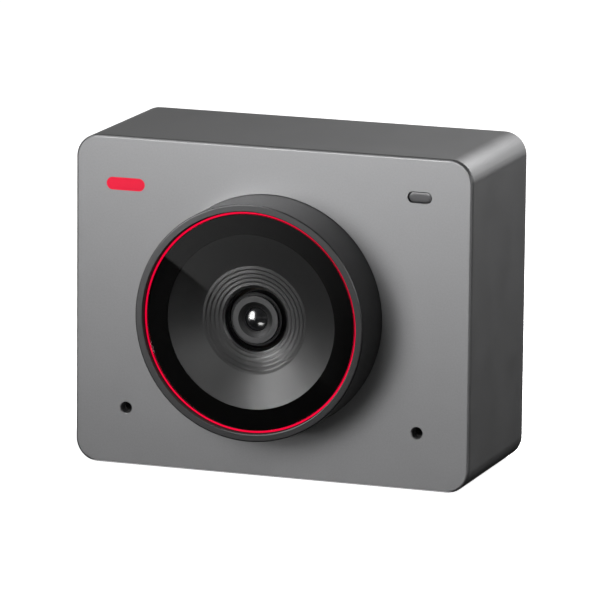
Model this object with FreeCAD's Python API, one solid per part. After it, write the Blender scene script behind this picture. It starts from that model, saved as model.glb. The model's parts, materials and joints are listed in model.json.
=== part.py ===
import FreeCAD, Part
import os
from math import cos, pi, radians, sin, sqrt

# Compact webcam in millimetres: a rounded metal body with a lens collar on its front.
# +X is to the right seen from the front, the front faces -Y and +Z is up.
# The origin is the middle of the tripod socket's mouth, in the body's bottom face.

# Body and front plate
BODY_WIDTH = 45.0
BODY_HEIGHT = 36.2
BODY_DEPTH = 19.2
CORNER_RADIUS = 2.5
EDGE_ROUND = 0.28
WALL = 1.3
PLATE_THICKNESS = 1.2
PLATE_RIM = 0.4
SEAM = 0.06
FIT = 0.05
RUNNING_GAP = 0.1

# Lens collar, accent ring and window; the lens sits a little left of the middle
LENS_OFFSET = (-0.35, 0.0)
COLLAR_RADIUS = 12.9
COLLAR_REACH = 6.2
COLLAR_CHAMFER = 0.12
COLLAR_WALL = 2.0
FLANGE_WIDTH = 1.5
FLANGE_THICKNESS = 1.0
SHELF_WIDTH = 0.6
RIM_WIDTH = 0.82
GLASS_SETBACK = 0.47
RING_DROP = 0.15
RING_WIDTH = 0.2
RING_GAP = 0.08
GLASS_THICKNESS = 0.28
MASK_THICKNESS = 0.1
MASK_WIDTH = 2.26

# Funnel baffle behind the window
CONE_MARGIN = 0.11
CONE_DEPTH = 1.06
STEPS_RADIUS = 5.9
STEP_PITCH = 0.46
STEP_COUNT = 5
STEP_DROP = 0.083
RISER_WIDTH = 0.15
BAFFLE_HOLE_CHAMFER = 0.08
BAFFLE_DEPTH = 2.05
BAFFLE_WALL = 0.75
FOAM_THICKNESS = 0.4
FOAM_WIDTH = 1.4

# Lens barrel and its elements, from the front
BARREL_SETBACK = 2.24
BARREL_LENGTH = 4.85
BARREL_RADIUS = 2.93
NOSE_RADIUS = 2.6
NOSE_LENGTH = 0.32
NOSE_CHAMFER = 0.07
DISH_RADIUS = 1.95
DISH_DEPTH = 0.27
APERTURE_RADIUS = 1.3
APERTURE_LIP = 0.18
FIRST_LENS_RADIUS = 1.65
LENS_WIDENING = 0.19
LENS_EDGES = (0.5, 0.45, 0.5, 0.5, 0.7)
LENS_FRONT_BULGES = (0.42, -0.1, 0.05, 0.1, -0.12)
LENS_REAR_BULGES = (-0.12, 0.06, -0.08, 0.06, -0.2)
LENS_CLEAR_SHARE = 0.79
SPACER_THICKNESS = 0.15
RETAINER_THICKNESS = 0.4
RETAINER_WIDTH = 0.55

# Focus actuator
FOCUS_TRAVEL = 0.3
YOKE_WIDTH = 10.0
YOKE_LENGTH = 3.15
YOKE_WALL = 0.25
YOKE_HOLE_RADIUS = 3.3
SPRING_THICKNESS = 0.05
SPRING_FRAME = 0.5
SPRING_ARM = 0.25
CARRIER_WALL = 0.6
CARRIER_FLANGE_WIDTH = 0.35
CARRIER_FLANGE_THICKNESS = 0.2
COIL_WINDING = 0.33
COIL_LENGTH = 1.4
COIL_FRONT_MARGIN = 0.5
MAGNET_WIDTH = 6.0
MAGNET_THICKNESS = 0.6
BASE_THICKNESS = 0.8

# Sensor stack
HOLDER_DEPTH = 1.1
HOLDER_WALL = 0.8
FILTER_WINDOW = (5.8, 4.8)
FILTER_SIZE = (7.2, 6.0)
FILTER_THICKNESS = 0.2
FILTER_SEAT = 0.35
SENSOR_SIZE = (7.4, 6.2)
SENSOR_THICKNESS = 0.45
SENSOR_BOARD_WIDTH = 12.0
SENSOR_BOARD_THICKNESS = 0.5
STIFFENER_THICKNESS = 0.2
STIFFENER_SHORTER = 2.6
MODULE_CLEARANCE = 0.5
BRACKET_TO_SCREWS = 0.25
BRACKET_LAND = 2.0
BRACKET_THICKNESS = 0.8
BRACKET_SCREW_INSET = 1.15

# Inner frame, posts and front boards
FRAME_THICKNESS = 1.4
ADHESIVE_THICKNESS = 0.1
POST_RADIUS = 1.5
POST_INSET = 2.0
COLLAR_SCREW_ANGLES = (30, 150, 270)
MIC_INSET = 5.85
MIC_HEIGHT = 6.3
MIC_HOLE_RADIUS = 0.6
MIC_HOLE_CHAMFER = 0.1
MIC_BOARD_SIZE = (4.2, 3.7)
MIC_BOARD_SHIFT = (0.55, 0.65)
MIC_SIZE = (3.0, 2.2, 1.0)
GASKET_RADIUS = 1.5
GASKET_BORE_RADIUS = 0.5
LIGHT_FROM_TOP = 4.3
LIGHT_SLOT = (2.7, 1.2)
LIGHT_SETBACK = 0.22
LIGHT_PIPE_RIM = 0.45
LIGHT_PIPE_RIM_THICKNESS = 0.6
LIGHT_BOARD_SIZE = (3.8, 3.4)
LIGHT_BOARD_SHIFT = 1.0
LED_SIZE = (1.6, 0.8, 0.5)
SMALL_BOARD_THICKNESS = 0.6
FLEX_THICKNESS = 0.12
FLEX_WIDTH = 2.0
SENSOR_FLEX_WIDTH = 8.0
SENSOR_FLEX_FOOT = 1.6
CONNECTOR_SIZE = (9.0, 2.4, 1.2)

# Main board and what it carries
BOARD_THICKNESS = 0.8
BOARD_MARGIN = 0.4
BOARD_NOTCH_WIDTH = 12.4
CHIP_SIZE = (12.0, 12.0, 1.2)
CHIP_HEIGHT_SHARE = 0.63
PAD_THICKNESS = 0.5
SINK_SIZE = (35.0, 16.6)
SINK_BASE = 1.2
SINK_FIN = 0.8
SINK_FIN_COUNT = 11
SINK_TO_COVER = 0.5
SINK_FOOT_RADIUS = 1.4
SINK_FOOT_TO_FIN = 0.7
SHIELD_SIZE = (8.0, 16.0, 2.2)
SHIELD_WALL = 0.2
COIL_SIZE = (3.8, 3.8, 2.2)
COIL_CHIP_COUNT = 4
COIL_CHIP_PITCH = 4.6
COIL_CHIP_TO_FLEX = 0.56
MEMORY_SIZE = (6.0, 5.0, 1.0)

# USB-C port
PORT_WIDTH = 8.94
PORT_HEIGHT = 3.2
PORT_LENGTH = 10.25
PORT_WALL = 0.3
PORT_CAVITY = 6.7
PORT_SETBACK = 0.15
PORT_TONGUE = (6.7, 0.7, 5.6)
PORT_CENTRE_HEIGHT = 10.4
PORT_MARGIN = 0.15

# Rear cover
COVER_THICKNESS = 1.4
COVER_LEDGE = 0.6
VENT_WIDTH = 0.9
VENT_LENGTH = 12.0
VENT_COUNT = 9
VENT_PITCH = 2.6
SCREW_HEAD_DEPTH = 1.0

# Screws, with a cross recess in each head
LONG_SCREW = {"shank": 0.8, "head": 1.35, "head_height": 0.8}
COLLAR_SCREW = {"shank": 0.7, "head": 1.2, "head_height": 0.6}
BRACKET_SCREW = {"shank": 0.5, "head": 0.95, "head_height": 0.5}
SINK_SCREW = {"shank": 0.6, "head": 1.2, "head_height": 0.7}
COLLAR_THREAD_LENGTH = 3.0
RECESS_LENGTH_SHARE = 1.2
RECESS_WIDTH_SHARE = 0.25
RECESS_DEPTH_SHARE = 0.55

# Tripod socket: 1/4 inch, 20 threads to the inch
SOCKET_BORE_RADIUS = 2.6
SOCKET_DEPTH = 5.5
SOCKET_RADIUS = 4.2
SOCKET_ROOF = 0.9
SOCKET_FLANGE_RADIUS = 5.5
SOCKET_FLANGE_THICKNESS = 1.0

# Places along the depth, from the front plate's face backwards
FACE_Y = -BODY_DEPTH / 2
BACK_Y = BODY_DEPTH / 2
PLATE_REAR_Y = FACE_Y + PLATE_THICKNESS
SLEEVE_FRONT_Y = FACE_Y + PLATE_RIM + SEAM
FLANGE_REAR_Y = PLATE_REAR_Y + FLANGE_THICKNESS
FRAME_FRONT_Y = PLATE_REAR_Y + ADHESIVE_THICKNESS
FRAME_REAR_Y = FLANGE_REAR_Y + FRAME_THICKNESS

# The window and the camera module are counted from the collar's rim
RIM_Y = FACE_Y - COLLAR_REACH
GLASS_Y = RIM_Y + GLASS_SETBACK
RING_Y = GLASS_Y + RING_DROP
GLASS_REAR_Y = GLASS_Y + GLASS_THICKNESS
MASK_REAR_Y = GLASS_REAR_Y + MASK_THICKNESS
CONE_REAR_Y = MASK_REAR_Y + CONE_DEPTH
BAFFLE_REAR_Y = MASK_REAR_Y + BAFFLE_DEPTH
YOKE_Y = BAFFLE_REAR_Y + FOAM_THICKNESS
YOKE_REAR_Y = YOKE_Y + YOKE_LENGTH
CARRIER_FRONT_Y = YOKE_Y + YOKE_WALL + FOCUS_TRAVEL + SPRING_THICKNESS + RUNNING_GAP
BASE_FRONT_Y = YOKE_REAR_Y + SPRING_THICKNESS
HOLDER_FRONT_Y = BASE_FRONT_Y + BASE_THICKNESS
SENSOR_BOARD_Y = HOLDER_FRONT_Y + HOLDER_DEPTH
STIFFENER_Y = SENSOR_BOARD_Y + SENSOR_BOARD_THICKNESS
STIFFENER_REAR_Y = STIFFENER_Y + STIFFENER_THICKNESS
BRACKET_REAR_Y = FRAME_REAR_Y + BRACKET_THICKNESS
BARREL_Y = RIM_Y + BARREL_SETBACK
APERTURE_Y = BARREL_Y + DISH_DEPTH

# The rear boards are counted from the back, because the port's length is set by its standard
COVER_FRONT_Y = BACK_Y - COVER_THICKNESS
PORT_MOUTH_Y = BACK_Y - PORT_SETBACK
BOARD_REAR_Y = PORT_MOUTH_Y - PORT_LENGTH
BOARD_FRONT_Y = BOARD_REAR_Y - BOARD_THICKNESS
SINK_FRONT_Y = BOARD_REAR_Y + CHIP_SIZE[2] + PAD_THICKNESS
SINK_REAR_Y = SINK_FRONT_Y + SINK_BASE

# Places across the front
MIDDLE = (0.0, BODY_HEIGHT / 2)
LENS_X, LENS_Z = MIDDLE[0] + LENS_OFFSET[0], MIDDLE[1] + LENS_OFFSET[1]
LENS = (LENS_X, LENS_Z)
SEAT_RADIUS = COLLAR_RADIUS - RIM_WIDTH
RING_RADIUS = SEAT_RADIUS - RING_GAP
GLASS_RADIUS = RING_RADIUS - RING_WIDTH - FIT
MASK_HOLE_RADIUS = GLASS_RADIUS - MASK_WIDTH
CONE_RADIUS = MASK_HOLE_RADIUS + CONE_MARGIN
BAFFLE_HOLE_RADIUS = STEPS_RADIUS - STEP_PITCH * STEP_COUNT - BAFFLE_HOLE_CHAMFER
COLLAR_BORE_RADIUS = COLLAR_RADIUS - COLLAR_WALL
SHELF_RADIUS = COLLAR_BORE_RADIUS - SHELF_WIDTH
FLANGE_RADIUS = COLLAR_RADIUS + FLANGE_WIDTH
COLLAR_SCREW_RADIUS = (COLLAR_RADIUS + SHELF_RADIUS) / 2
COLLAR_SCREW_REACH = COLLAR_SCREW_RADIUS * cos(radians(COLLAR_SCREW_ANGLES[0])) - COLLAR_SCREW["head"]
FRAME_WINDOW = SENSOR_BOARD_WIDTH + 2 * MODULE_CLEARANCE
BRACKET_SIZE = (2 * (COLLAR_SCREW_REACH - BRACKET_TO_SCREWS), FRAME_WINDOW + 2 * BRACKET_LAND)
CARRIER_BORE_RADIUS = BARREL_RADIUS + FIT / 2
CARRIER_RADIUS = CARRIER_BORE_RADIUS + CARRIER_WALL
MIC_X = BODY_WIDTH / 2 - MIC_INSET
LIGHT_Z = BODY_HEIGHT - LIGHT_FROM_TOP
CAVITY_WIDTH = BODY_WIDTH - 2 * WALL
CAVITY_HEIGHT = BODY_HEIGHT - 2 * WALL
CAVITY_CORNER = CORNER_RADIUS - WALL
POST_X = CAVITY_WIDTH / 2 - POST_INSET
POST_ZS = (WALL + POST_INSET, BODY_HEIGHT - WALL - POST_INSET)
POSTS = [(side * POST_X, z) for side in (-1, 1) for z in POST_ZS]
CHIP_Z = BODY_HEIGHT * CHIP_HEIGHT_SHARE


def block(x, y, z):
    """Box between two limits on each axis."""
    return Part.makeBox(x[1] - x[0], y[1] - y[0], z[1] - z[0], FreeCAD.Vector(x[0], y[0], z[0]))


def slab(size, y, centre=LENS):
    """Box of width and height size around a centre (x, z), between two depths."""
    x, z = centre
    return block((x - size[0] / 2, x + size[0] / 2), y, (z - size[1] / 2, z + size[1] / 2))


def rod(radius, y, centre=LENS):
    """Cylinder along the depth."""
    return Part.makeCylinder(radius, y[1] - y[0], FreeCAD.Vector(centre[0], y[0], centre[1]),
                             FreeCAD.Vector(0, 1, 0))


def tube(outer, inner, y, centre=LENS):
    """Straight tube along the depth."""
    return rod(outer, y, centre).cut(rod(inner, y, centre))


def cone(radii, y, centre=LENS):
    """Truncated cone along the depth."""
    return Part.makeCone(radii[0], radii[1], y[1] - y[0], FreeCAD.Vector(centre[0], y[0], centre[1]),
                         FreeCAD.Vector(0, 1, 0))


def rounded_slab(size, radius, y, centre=MIDDLE):
    """Rounded rectangle of width and height size, between two depths."""
    half_width, half_height = size[0] / 2, size[1] / 2
    edges = []
    for quarter in range(4):
        start = quarter * pi / 2
        turn_x = 1 if quarter in (0, 3) else -1
        turn_z = 1 if quarter in (0, 1) else -1
        middle = (centre[0] + turn_x * (half_width - radius), centre[1] + turn_z * (half_height - radius))
        arc = [FreeCAD.Vector(middle[0] + radius * cos(start + part * pi / 4), y[0],
                              middle[1] + radius * sin(start + part * pi / 4)) for part in range(3)]
        if edges and (edges[-1][-1] - arc[0]).Length > 1e-6:
            edges.append((edges[-1][-1], arc[0]))
        edges.append(tuple(arc))
    if (edges[-1][-1] - edges[0][0]).Length > 1e-6:
        edges.append((edges[-1][-1], edges[0][0]))
    shapes = [Part.Arc(*points).toShape() if len(points) == 3 else Part.makeLine(*points)
              for points in edges]
    return Part.Face(Part.Wire(shapes)).extrude(FreeCAD.Vector(0, y[1] - y[0], 0))


def pill(size, y, centre):
    """Slab whose short ends are half circles."""
    return rounded_slab(size, size[1] / 2 - 1e-4, y, centre)


def turned(profile):
    """Solid turned about the lens axis from (radius, depth) points."""
    points = [FreeCAD.Vector(LENS_X + radius, y, LENS_Z) for radius, y in profile]
    face = Part.Face(Part.makePolygon(points + points[:1]))
    return face.revolve(FreeCAD.Vector(LENS_X, 0, LENS_Z), FreeCAD.Vector(0, 1, 0), 360)


def joined(shapes):
    """One solid from shapes that touch or overlap."""
    return shapes[0].fuse(shapes[1:]).removeSplitter()


def without(shape, tools):
    """The shape with every tool cut out of it."""
    return shape.cut(Part.makeCompound(tools))


def group(shapes):
    """Separate solids that share one node."""
    return Part.makeCompound(shapes)


def screw(kind, centre, head_y, tip_y):
    """Pan-head screw whose head bears at head_y and whose shank points towards the front."""
    shank = rod(kind["shank"], (tip_y, head_y), centre)
    top_y = head_y + kind["head_height"]
    head = rod(kind["head"], (head_y, top_y), centre)
    width = kind["head"] * RECESS_WIDTH_SHARE
    length = kind["head"] * RECESS_LENGTH_SHARE
    deep = (top_y - kind["head_height"] * RECESS_DEPTH_SHARE, top_y)
    return without(joined([head, shank]), [slab((length, width), deep, centre), slab((width, length), deep, centre)])


def screw_hole(kind, y, centre):
    """Clearance hole for a screw's shank."""
    return rod(kind["shank"] + FIT, y, centre)


def ribbon(path, width, x_middle):
    """Thin flexible strip whose centre line runs through (depth, height) points at right angles."""
    half = FLEX_THICKNESS / 2
    across = (x_middle - width / 2, x_middle + width / 2)
    runs = []
    for (y0, z0), (y1, z1) in zip(path, path[1:]):
        runs.append(block(across, (min(y0, y1) - half, max(y0, y1) + half),
                          (min(z0, z1) - half, max(z0, z1) + half)))
    return joined(runs) if len(runs) > 1 else runs[0]


def mic_places():
    return [(side * MIC_X, MIC_HEIGHT) for side in (-1, 1)]


def mic_board_places():
    return [(side * (MIC_X - MIC_BOARD_SHIFT[0]), MIC_HEIGHT + MIC_BOARD_SHIFT[1]) for side in (-1, 1)]


def mic_flex_height():
    return mic_board_places()[0][1] + MIC_BOARD_SIZE[1] / 2 - FLEX_THICKNESS


def light_place():
    return (MIC_X, LIGHT_Z)


def light_board_place():
    return (MIC_X - LIGHT_BOARD_SHIFT, LIGHT_Z)


def collar_screw_places():
    angles = [radians(angle) for angle in COLLAR_SCREW_ANGLES]
    return [(LENS_X + COLLAR_SCREW_RADIUS * cos(a), LENS_Z + COLLAR_SCREW_RADIUS * sin(a)) for a in angles]


def bracket_screw_places():
    x = BRACKET_SIZE[0] / 2 - BRACKET_SCREW_INSET
    z = BRACKET_SIZE[1] / 2 - BRACKET_SCREW_INSET
    return [(LENS_X + side * x, LENS_Z + up * z) for side in (-1, 1) for up in (-1, 1)]


def sink_foot_places():
    x = SINK_SIZE[0] / 2 - SINK_FOOT_RADIUS
    return [(side * x, CHIP_Z) for side in (-1, 1)]


def front_plate():
    band = rounded_slab((BODY_WIDTH, BODY_HEIGHT), CORNER_RADIUS, (FACE_Y, FACE_Y + PLATE_RIM))
    outline = [edge for edge in band.Edges if all(abs(v.Y - FACE_Y) < 1e-6 for v in edge.Vertexes)]
    band = band.makeFillet(EDGE_ROUND, outline)
    core_size = (CAVITY_WIDTH - 2 * FIT, CAVITY_HEIGHT - 2 * FIT)
    core = rounded_slab(core_size, CAVITY_CORNER - FIT, (FACE_Y + PLATE_RIM, PLATE_REAR_Y))
    through = (FACE_Y - WALL, PLATE_REAR_Y + WALL)
    holes = [rod(COLLAR_RADIUS + FIT, through), pill(LIGHT_SLOT, through, light_place())]
    for place in mic_places():
        holes.append(rod(MIC_HOLE_RADIUS, through, place))
        wide = MIC_HOLE_RADIUS + MIC_HOLE_CHAMFER
        holes.append(cone((wide, MIC_HOLE_RADIUS), (FACE_Y, FACE_Y + MIC_HOLE_CHAMFER), place))
    return without(joined([band, core]), holes)


def body_sleeve():
    outer = rounded_slab((BODY_WIDTH, BODY_HEIGHT), CORNER_RADIUS, (SLEEVE_FRONT_Y, BACK_Y))
    rear_edges = [edge for edge in outer.Edges if all(abs(v.Y - BACK_Y) < 1e-6 for v in edge.Vertexes)]
    outer = outer.makeFillet(EDGE_ROUND, rear_edges)
    through = (SLEEVE_FRONT_Y - WALL, BACK_Y + WALL)
    cavity = rounded_slab((CAVITY_WIDTH, CAVITY_HEIGHT), CAVITY_CORNER, through)
    mouth_size = (CAVITY_WIDTH + 2 * COVER_LEDGE, CAVITY_HEIGHT + 2 * COVER_LEDGE)
    mouth = rounded_slab(mouth_size, CAVITY_CORNER + COVER_LEDGE, (COVER_FRONT_Y, BACK_Y + WALL))
    socket_hole = Part.makeCylinder(SOCKET_RADIUS + FIT / 2, 2 * WALL, FreeCAD.Vector(0, 0, -WALL / 2))
    return without(outer, [cavity, mouth, socket_hole])


def lens_collar():
    body = turned([
        (COLLAR_RADIUS - COLLAR_CHAMFER, RIM_Y), (COLLAR_RADIUS, RIM_Y + COLLAR_CHAMFER),
        (COLLAR_RADIUS, PLATE_REAR_Y), (FLANGE_RADIUS, PLATE_REAR_Y), (FLANGE_RADIUS, FLANGE_REAR_Y),
        (SHELF_RADIUS, FLANGE_REAR_Y), (SHELF_RADIUS, BAFFLE_REAR_Y), (COLLAR_BORE_RADIUS, BAFFLE_REAR_Y),
        (COLLAR_BORE_RADIUS, MASK_REAR_Y), (SEAT_RADIUS, MASK_REAR_Y),
        (SEAT_RADIUS, RIM_Y + COLLAR_CHAMFER), (SEAT_RADIUS + COLLAR_CHAMFER, RIM_Y)])
    thread = (FLANGE_REAR_Y - COLLAR_THREAD_LENGTH - FIT, FLANGE_REAR_Y)
    return without(body, [screw_hole(COLLAR_SCREW, thread, place) for place in collar_screw_places()])


def accent_ring():
    return tube(RING_RADIUS, RING_RADIUS - RING_WIDTH, (RING_Y, MASK_REAR_Y))


def cover_glass():
    return rod(GLASS_RADIUS, (GLASS_Y, GLASS_REAR_Y))


def window_mask():
    return tube(GLASS_RADIUS, MASK_HOLE_RADIUS, (GLASS_REAR_Y, MASK_REAR_Y))


def stepped_rings():
    """Front corners of the stepped rings, from the cone's foot to the hole: flat lands and sloping risers."""
    points = [(STEPS_RADIUS, CONE_REAR_Y)]
    for index in range(1, STEP_COUNT + 1):
        radius, y = STEPS_RADIUS - STEP_PITCH * index, CONE_REAR_Y + STEP_DROP * index
        points += [(radius + RISER_WIDTH, y - STEP_DROP), (radius, y)]
    return points


def funnel_baffle():
    outer = COLLAR_BORE_RADIUS - FIT
    skirt = outer - BAFFLE_WALL
    hole_y = CONE_REAR_Y + STEP_DROP * STEP_COUNT
    slope = (CONE_RADIUS - STEPS_RADIUS) / CONE_DEPTH
    web_y = BAFFLE_REAR_Y - BAFFLE_WALL / 2
    web_end_y = MASK_REAR_Y + BAFFLE_WALL + (CONE_RADIUS - skirt) / slope
    hub = STEPS_RADIUS
    return turned(
        [(outer, MASK_REAR_Y), (CONE_RADIUS, MASK_REAR_Y)] + stepped_rings()
        + [(BAFFLE_HOLE_RADIUS, hole_y + BAFFLE_HOLE_CHAMFER), (BAFFLE_HOLE_RADIUS, BAFFLE_REAR_Y),
           (hub, BAFFLE_REAR_Y), (hub, web_y), (skirt, web_end_y), (skirt, BAFFLE_REAR_Y),
           (outer, BAFFLE_REAR_Y)])


def dust_foam():
    inner = YOKE_HOLE_RADIUS + BAFFLE_WALL
    return tube(inner + FOAM_WIDTH, inner, (BAFFLE_REAR_Y, YOKE_Y))


def lens_places():
    """Rim radius and rim depths of each lens element, from the front."""
    places, y = [], APERTURE_Y + APERTURE_LIP
    for index, edge in enumerate(LENS_EDGES):
        places.append((FIRST_LENS_RADIUS + LENS_WIDENING * index, y, y + edge))
        y += edge + SPACER_THICKNESS
    return places


def lens_barrel():
    outline = [(DISH_RADIUS, BARREL_Y), (NOSE_RADIUS - NOSE_CHAMFER, BARREL_Y),
               (NOSE_RADIUS, BARREL_Y + NOSE_CHAMFER), (NOSE_RADIUS, BARREL_Y + NOSE_LENGTH),
               (BARREL_RADIUS, BARREL_Y + NOSE_LENGTH), (BARREL_RADIUS, BARREL_Y + BARREL_LENGTH)]
    bore = [(APERTURE_RADIUS, APERTURE_Y), (APERTURE_RADIUS, APERTURE_Y + APERTURE_LIP)]
    for radius, front, rear in lens_places():
        bore += [(radius + FIT / 2, front), (radius + FIT / 2, rear + SPACER_THICKNESS)]
    bore[-1] = (bore[-1][0], BARREL_Y + BARREL_LENGTH)
    return turned(outline + bore[::-1])


def bulge_edge(clear, rim_y, bulge, forward):
    """Arc from the lens axis to the clear radius, bulged forward or backward of the rim."""
    centre_y = rim_y - bulge if forward else rim_y + bulge
    ball = (clear ** 2 + bulge ** 2) / (2 * abs(bulge))
    middle_sag = ball - sqrt(ball ** 2 - clear ** 2 / 4)
    toward_rim = 1 if rim_y > centre_y else -1
    points = [(0.0, centre_y), (clear / 2, centre_y + toward_rim * middle_sag), (clear, rim_y)]
    return Part.Arc(*[FreeCAD.Vector(LENS_X + radius, y, LENS_Z) for radius, y in points]).toShape()


def lens_element(index):
    radius, front, rear = lens_places()[index]
    clear = radius * LENS_CLEAR_SHARE
    front_arc = bulge_edge(clear, front, LENS_FRONT_BULGES[index], True)
    rear_arc = bulge_edge(clear, rear, LENS_REAR_BULGES[index], False)
    corners = [FreeCAD.Vector(LENS_X + r, y, LENS_Z)
               for r, y in [(clear, front), (radius, front), (radius, rear), (clear, rear)]]
    rim = [Part.makeLine(a, b) for a, b in zip(corners, corners[1:])]
    axis = Part.makeLine(rear_arc.valueAt(rear_arc.FirstParameter), front_arc.valueAt(front_arc.FirstParameter))
    face = Part.Face(Part.Wire(Part.__sortEdges__([front_arc] + rim + [rear_arc, axis])))
    return face.revolve(FreeCAD.Vector(LENS_X, 0, LENS_Z), FreeCAD.Vector(0, 1, 0), 360)


def lens_spacers():
    rings = []
    places = lens_places()
    for (radius, _, rear), (next_radius, next_front, _) in zip(places, places[1:]):
        rings.append(tube(radius, next_radius * LENS_CLEAR_SHARE + FIT / 2, (rear, next_front)))
    return group(rings)


def lens_retainer():
    radius, _, rear = lens_places()[-1]
    return tube(radius, radius - RETAINER_WIDTH, (rear, rear + RETAINER_THICKNESS))


def focus_yoke():
    can = slab((YOKE_WIDTH, YOKE_WIDTH), (YOKE_Y, YOKE_REAR_Y))
    inner = YOKE_WIDTH - 2 * YOKE_WALL
    room = slab((inner, inner), (YOKE_Y + YOKE_WALL, YOKE_REAR_Y + YOKE_WALL))
    return without(can, [room, rod(YOKE_HOLE_RADIUS, (YOKE_Y - YOKE_WALL, YOKE_Y + 2 * YOKE_WALL))])


def focus_magnets():
    reach = YOKE_WIDTH / 2 - YOKE_WALL
    y = (CARRIER_FRONT_Y, YOKE_REAR_Y)
    magnets = []
    for side in (-1, 1):
        offset = side * (reach - MAGNET_THICKNESS / 2)
        magnets.append(slab((MAGNET_THICKNESS, MAGNET_WIDTH), y, (LENS_X + offset, LENS_Z)))
        magnets.append(slab((MAGNET_WIDTH, MAGNET_THICKNESS), y, (LENS_X, LENS_Z + offset)))
    return group(magnets)


def coil_depths():
    front = CARRIER_FRONT_Y + COIL_FRONT_MARGIN
    return (front, front + COIL_LENGTH)


def focus_carrier():
    front, rear = coil_depths()
    body = tube(CARRIER_RADIUS, CARRIER_BORE_RADIUS, (CARRIER_FRONT_Y, YOKE_REAR_Y))
    flanges = [tube(CARRIER_RADIUS + CARRIER_FLANGE_WIDTH, CARRIER_BORE_RADIUS, (y, y + CARRIER_FLANGE_THICKNESS))
               for y in (front - CARRIER_FLANGE_THICKNESS, rear)]
    return joined([body] + flanges)


def focus_coil():
    return tube(CARRIER_RADIUS + COIL_WINDING, CARRIER_RADIUS, coil_depths())


def leaf_spring(front_y):
    """Flat spring: a square frame joined to an inner ring by four bent arms."""
    y = (front_y, front_y + SPRING_THICKNESS)
    outer = YOKE_WIDTH - 2 * YOKE_WALL - 2 * FIT
    inner = outer - 2 * SPRING_FRAME
    frame = slab((outer, outer), y).cut(slab((inner, inner), y))
    ring = tube(CARRIER_RADIUS - FIT, CARRIER_BORE_RADIUS + FIT, y)
    arms = []
    reach = inner / 2 * sqrt(2) + SPRING_FRAME / 2
    for quarter in range(4):
        arm = block((LENS_X + CARRIER_RADIUS - 2 * SPRING_ARM, LENS_X + reach), y,
                    (LENS_Z - SPRING_ARM / 2, LENS_Z + SPRING_ARM / 2))
        arm.rotate(FreeCAD.Vector(LENS_X, 0, LENS_Z), FreeCAD.Vector(0, 1, 0), 45 + 90 * quarter)
        arms.append(arm)
    return joined([frame, ring] + arms)


def focus_base():
    plate = slab((YOKE_WIDTH, YOKE_WIDTH), (BASE_FRONT_Y, HOLDER_FRONT_Y))
    return plate.cut(rod(CARRIER_RADIUS + FIT, (BASE_FRONT_Y - WALL, HOLDER_FRONT_Y + WALL)))


def sensor_holder():
    body = slab((YOKE_WIDTH, YOKE_WIDTH), (HOLDER_FRONT_Y, SENSOR_BOARD_Y))
    seat_y = HOLDER_FRONT_Y + FILTER_SEAT
    room_size = YOKE_WIDTH - 2 * HOLDER_WALL
    room = slab((room_size, room_size), (seat_y + FILTER_THICKNESS, SENSOR_BOARD_Y + WALL))
    pocket = slab((FILTER_SIZE[0] + 2 * FIT, FILTER_SIZE[1] + 2 * FIT), (seat_y, SENSOR_BOARD_Y))
    window = slab(FILTER_WINDOW, (HOLDER_FRONT_Y - WALL, seat_y + FILTER_SEAT))
    return without(body, [room, pocket, window])


def infrared_filter():
    seat_y = HOLDER_FRONT_Y + FILTER_SEAT
    return slab(FILTER_SIZE, (seat_y, seat_y + FILTER_THICKNESS))


def image_sensor():
    return slab(SENSOR_SIZE, (SENSOR_BOARD_Y - SENSOR_THICKNESS, SENSOR_BOARD_Y))


def sensor_board():
    return slab((SENSOR_BOARD_WIDTH, SENSOR_BOARD_WIDTH), (SENSOR_BOARD_Y, STIFFENER_Y))


def sensor_stiffener():
    size = (SENSOR_BOARD_WIDTH, SENSOR_BOARD_WIDTH - STIFFENER_SHORTER)
    return slab(size, (STIFFENER_Y, STIFFENER_REAR_Y), (LENS_X, LENS_Z + STIFFENER_SHORTER / 2))


def module_bracket():
    plate = slab(BRACKET_SIZE, (FRAME_REAR_Y, BRACKET_REAR_Y))
    pad_size = (SENSOR_BOARD_WIDTH, SENSOR_BOARD_WIDTH - STIFFENER_SHORTER)
    pad = slab(pad_size, (STIFFENER_REAR_Y, FRAME_REAR_Y + BRACKET_THICKNESS / 2),
               (LENS_X, LENS_Z + STIFFENER_SHORTER / 2))
    slot_top = LENS_Z - SENSOR_BOARD_WIDTH / 2 + STIFFENER_SHORTER
    slot_half = SENSOR_FLEX_WIDTH / 2 + 2 * FIT
    slot = block((LENS_X - slot_half, LENS_X + slot_half),
                 (FRAME_REAR_Y - WALL, BRACKET_REAR_Y + WALL), (slot_top - STIFFENER_SHORTER, slot_top))
    holes = [screw_hole(BRACKET_SCREW, (FRAME_REAR_Y - WALL, BRACKET_REAR_Y + WALL), place)
             for place in bracket_screw_places()]
    return without(joined([plate, pad]), [slot] + holes)


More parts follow.
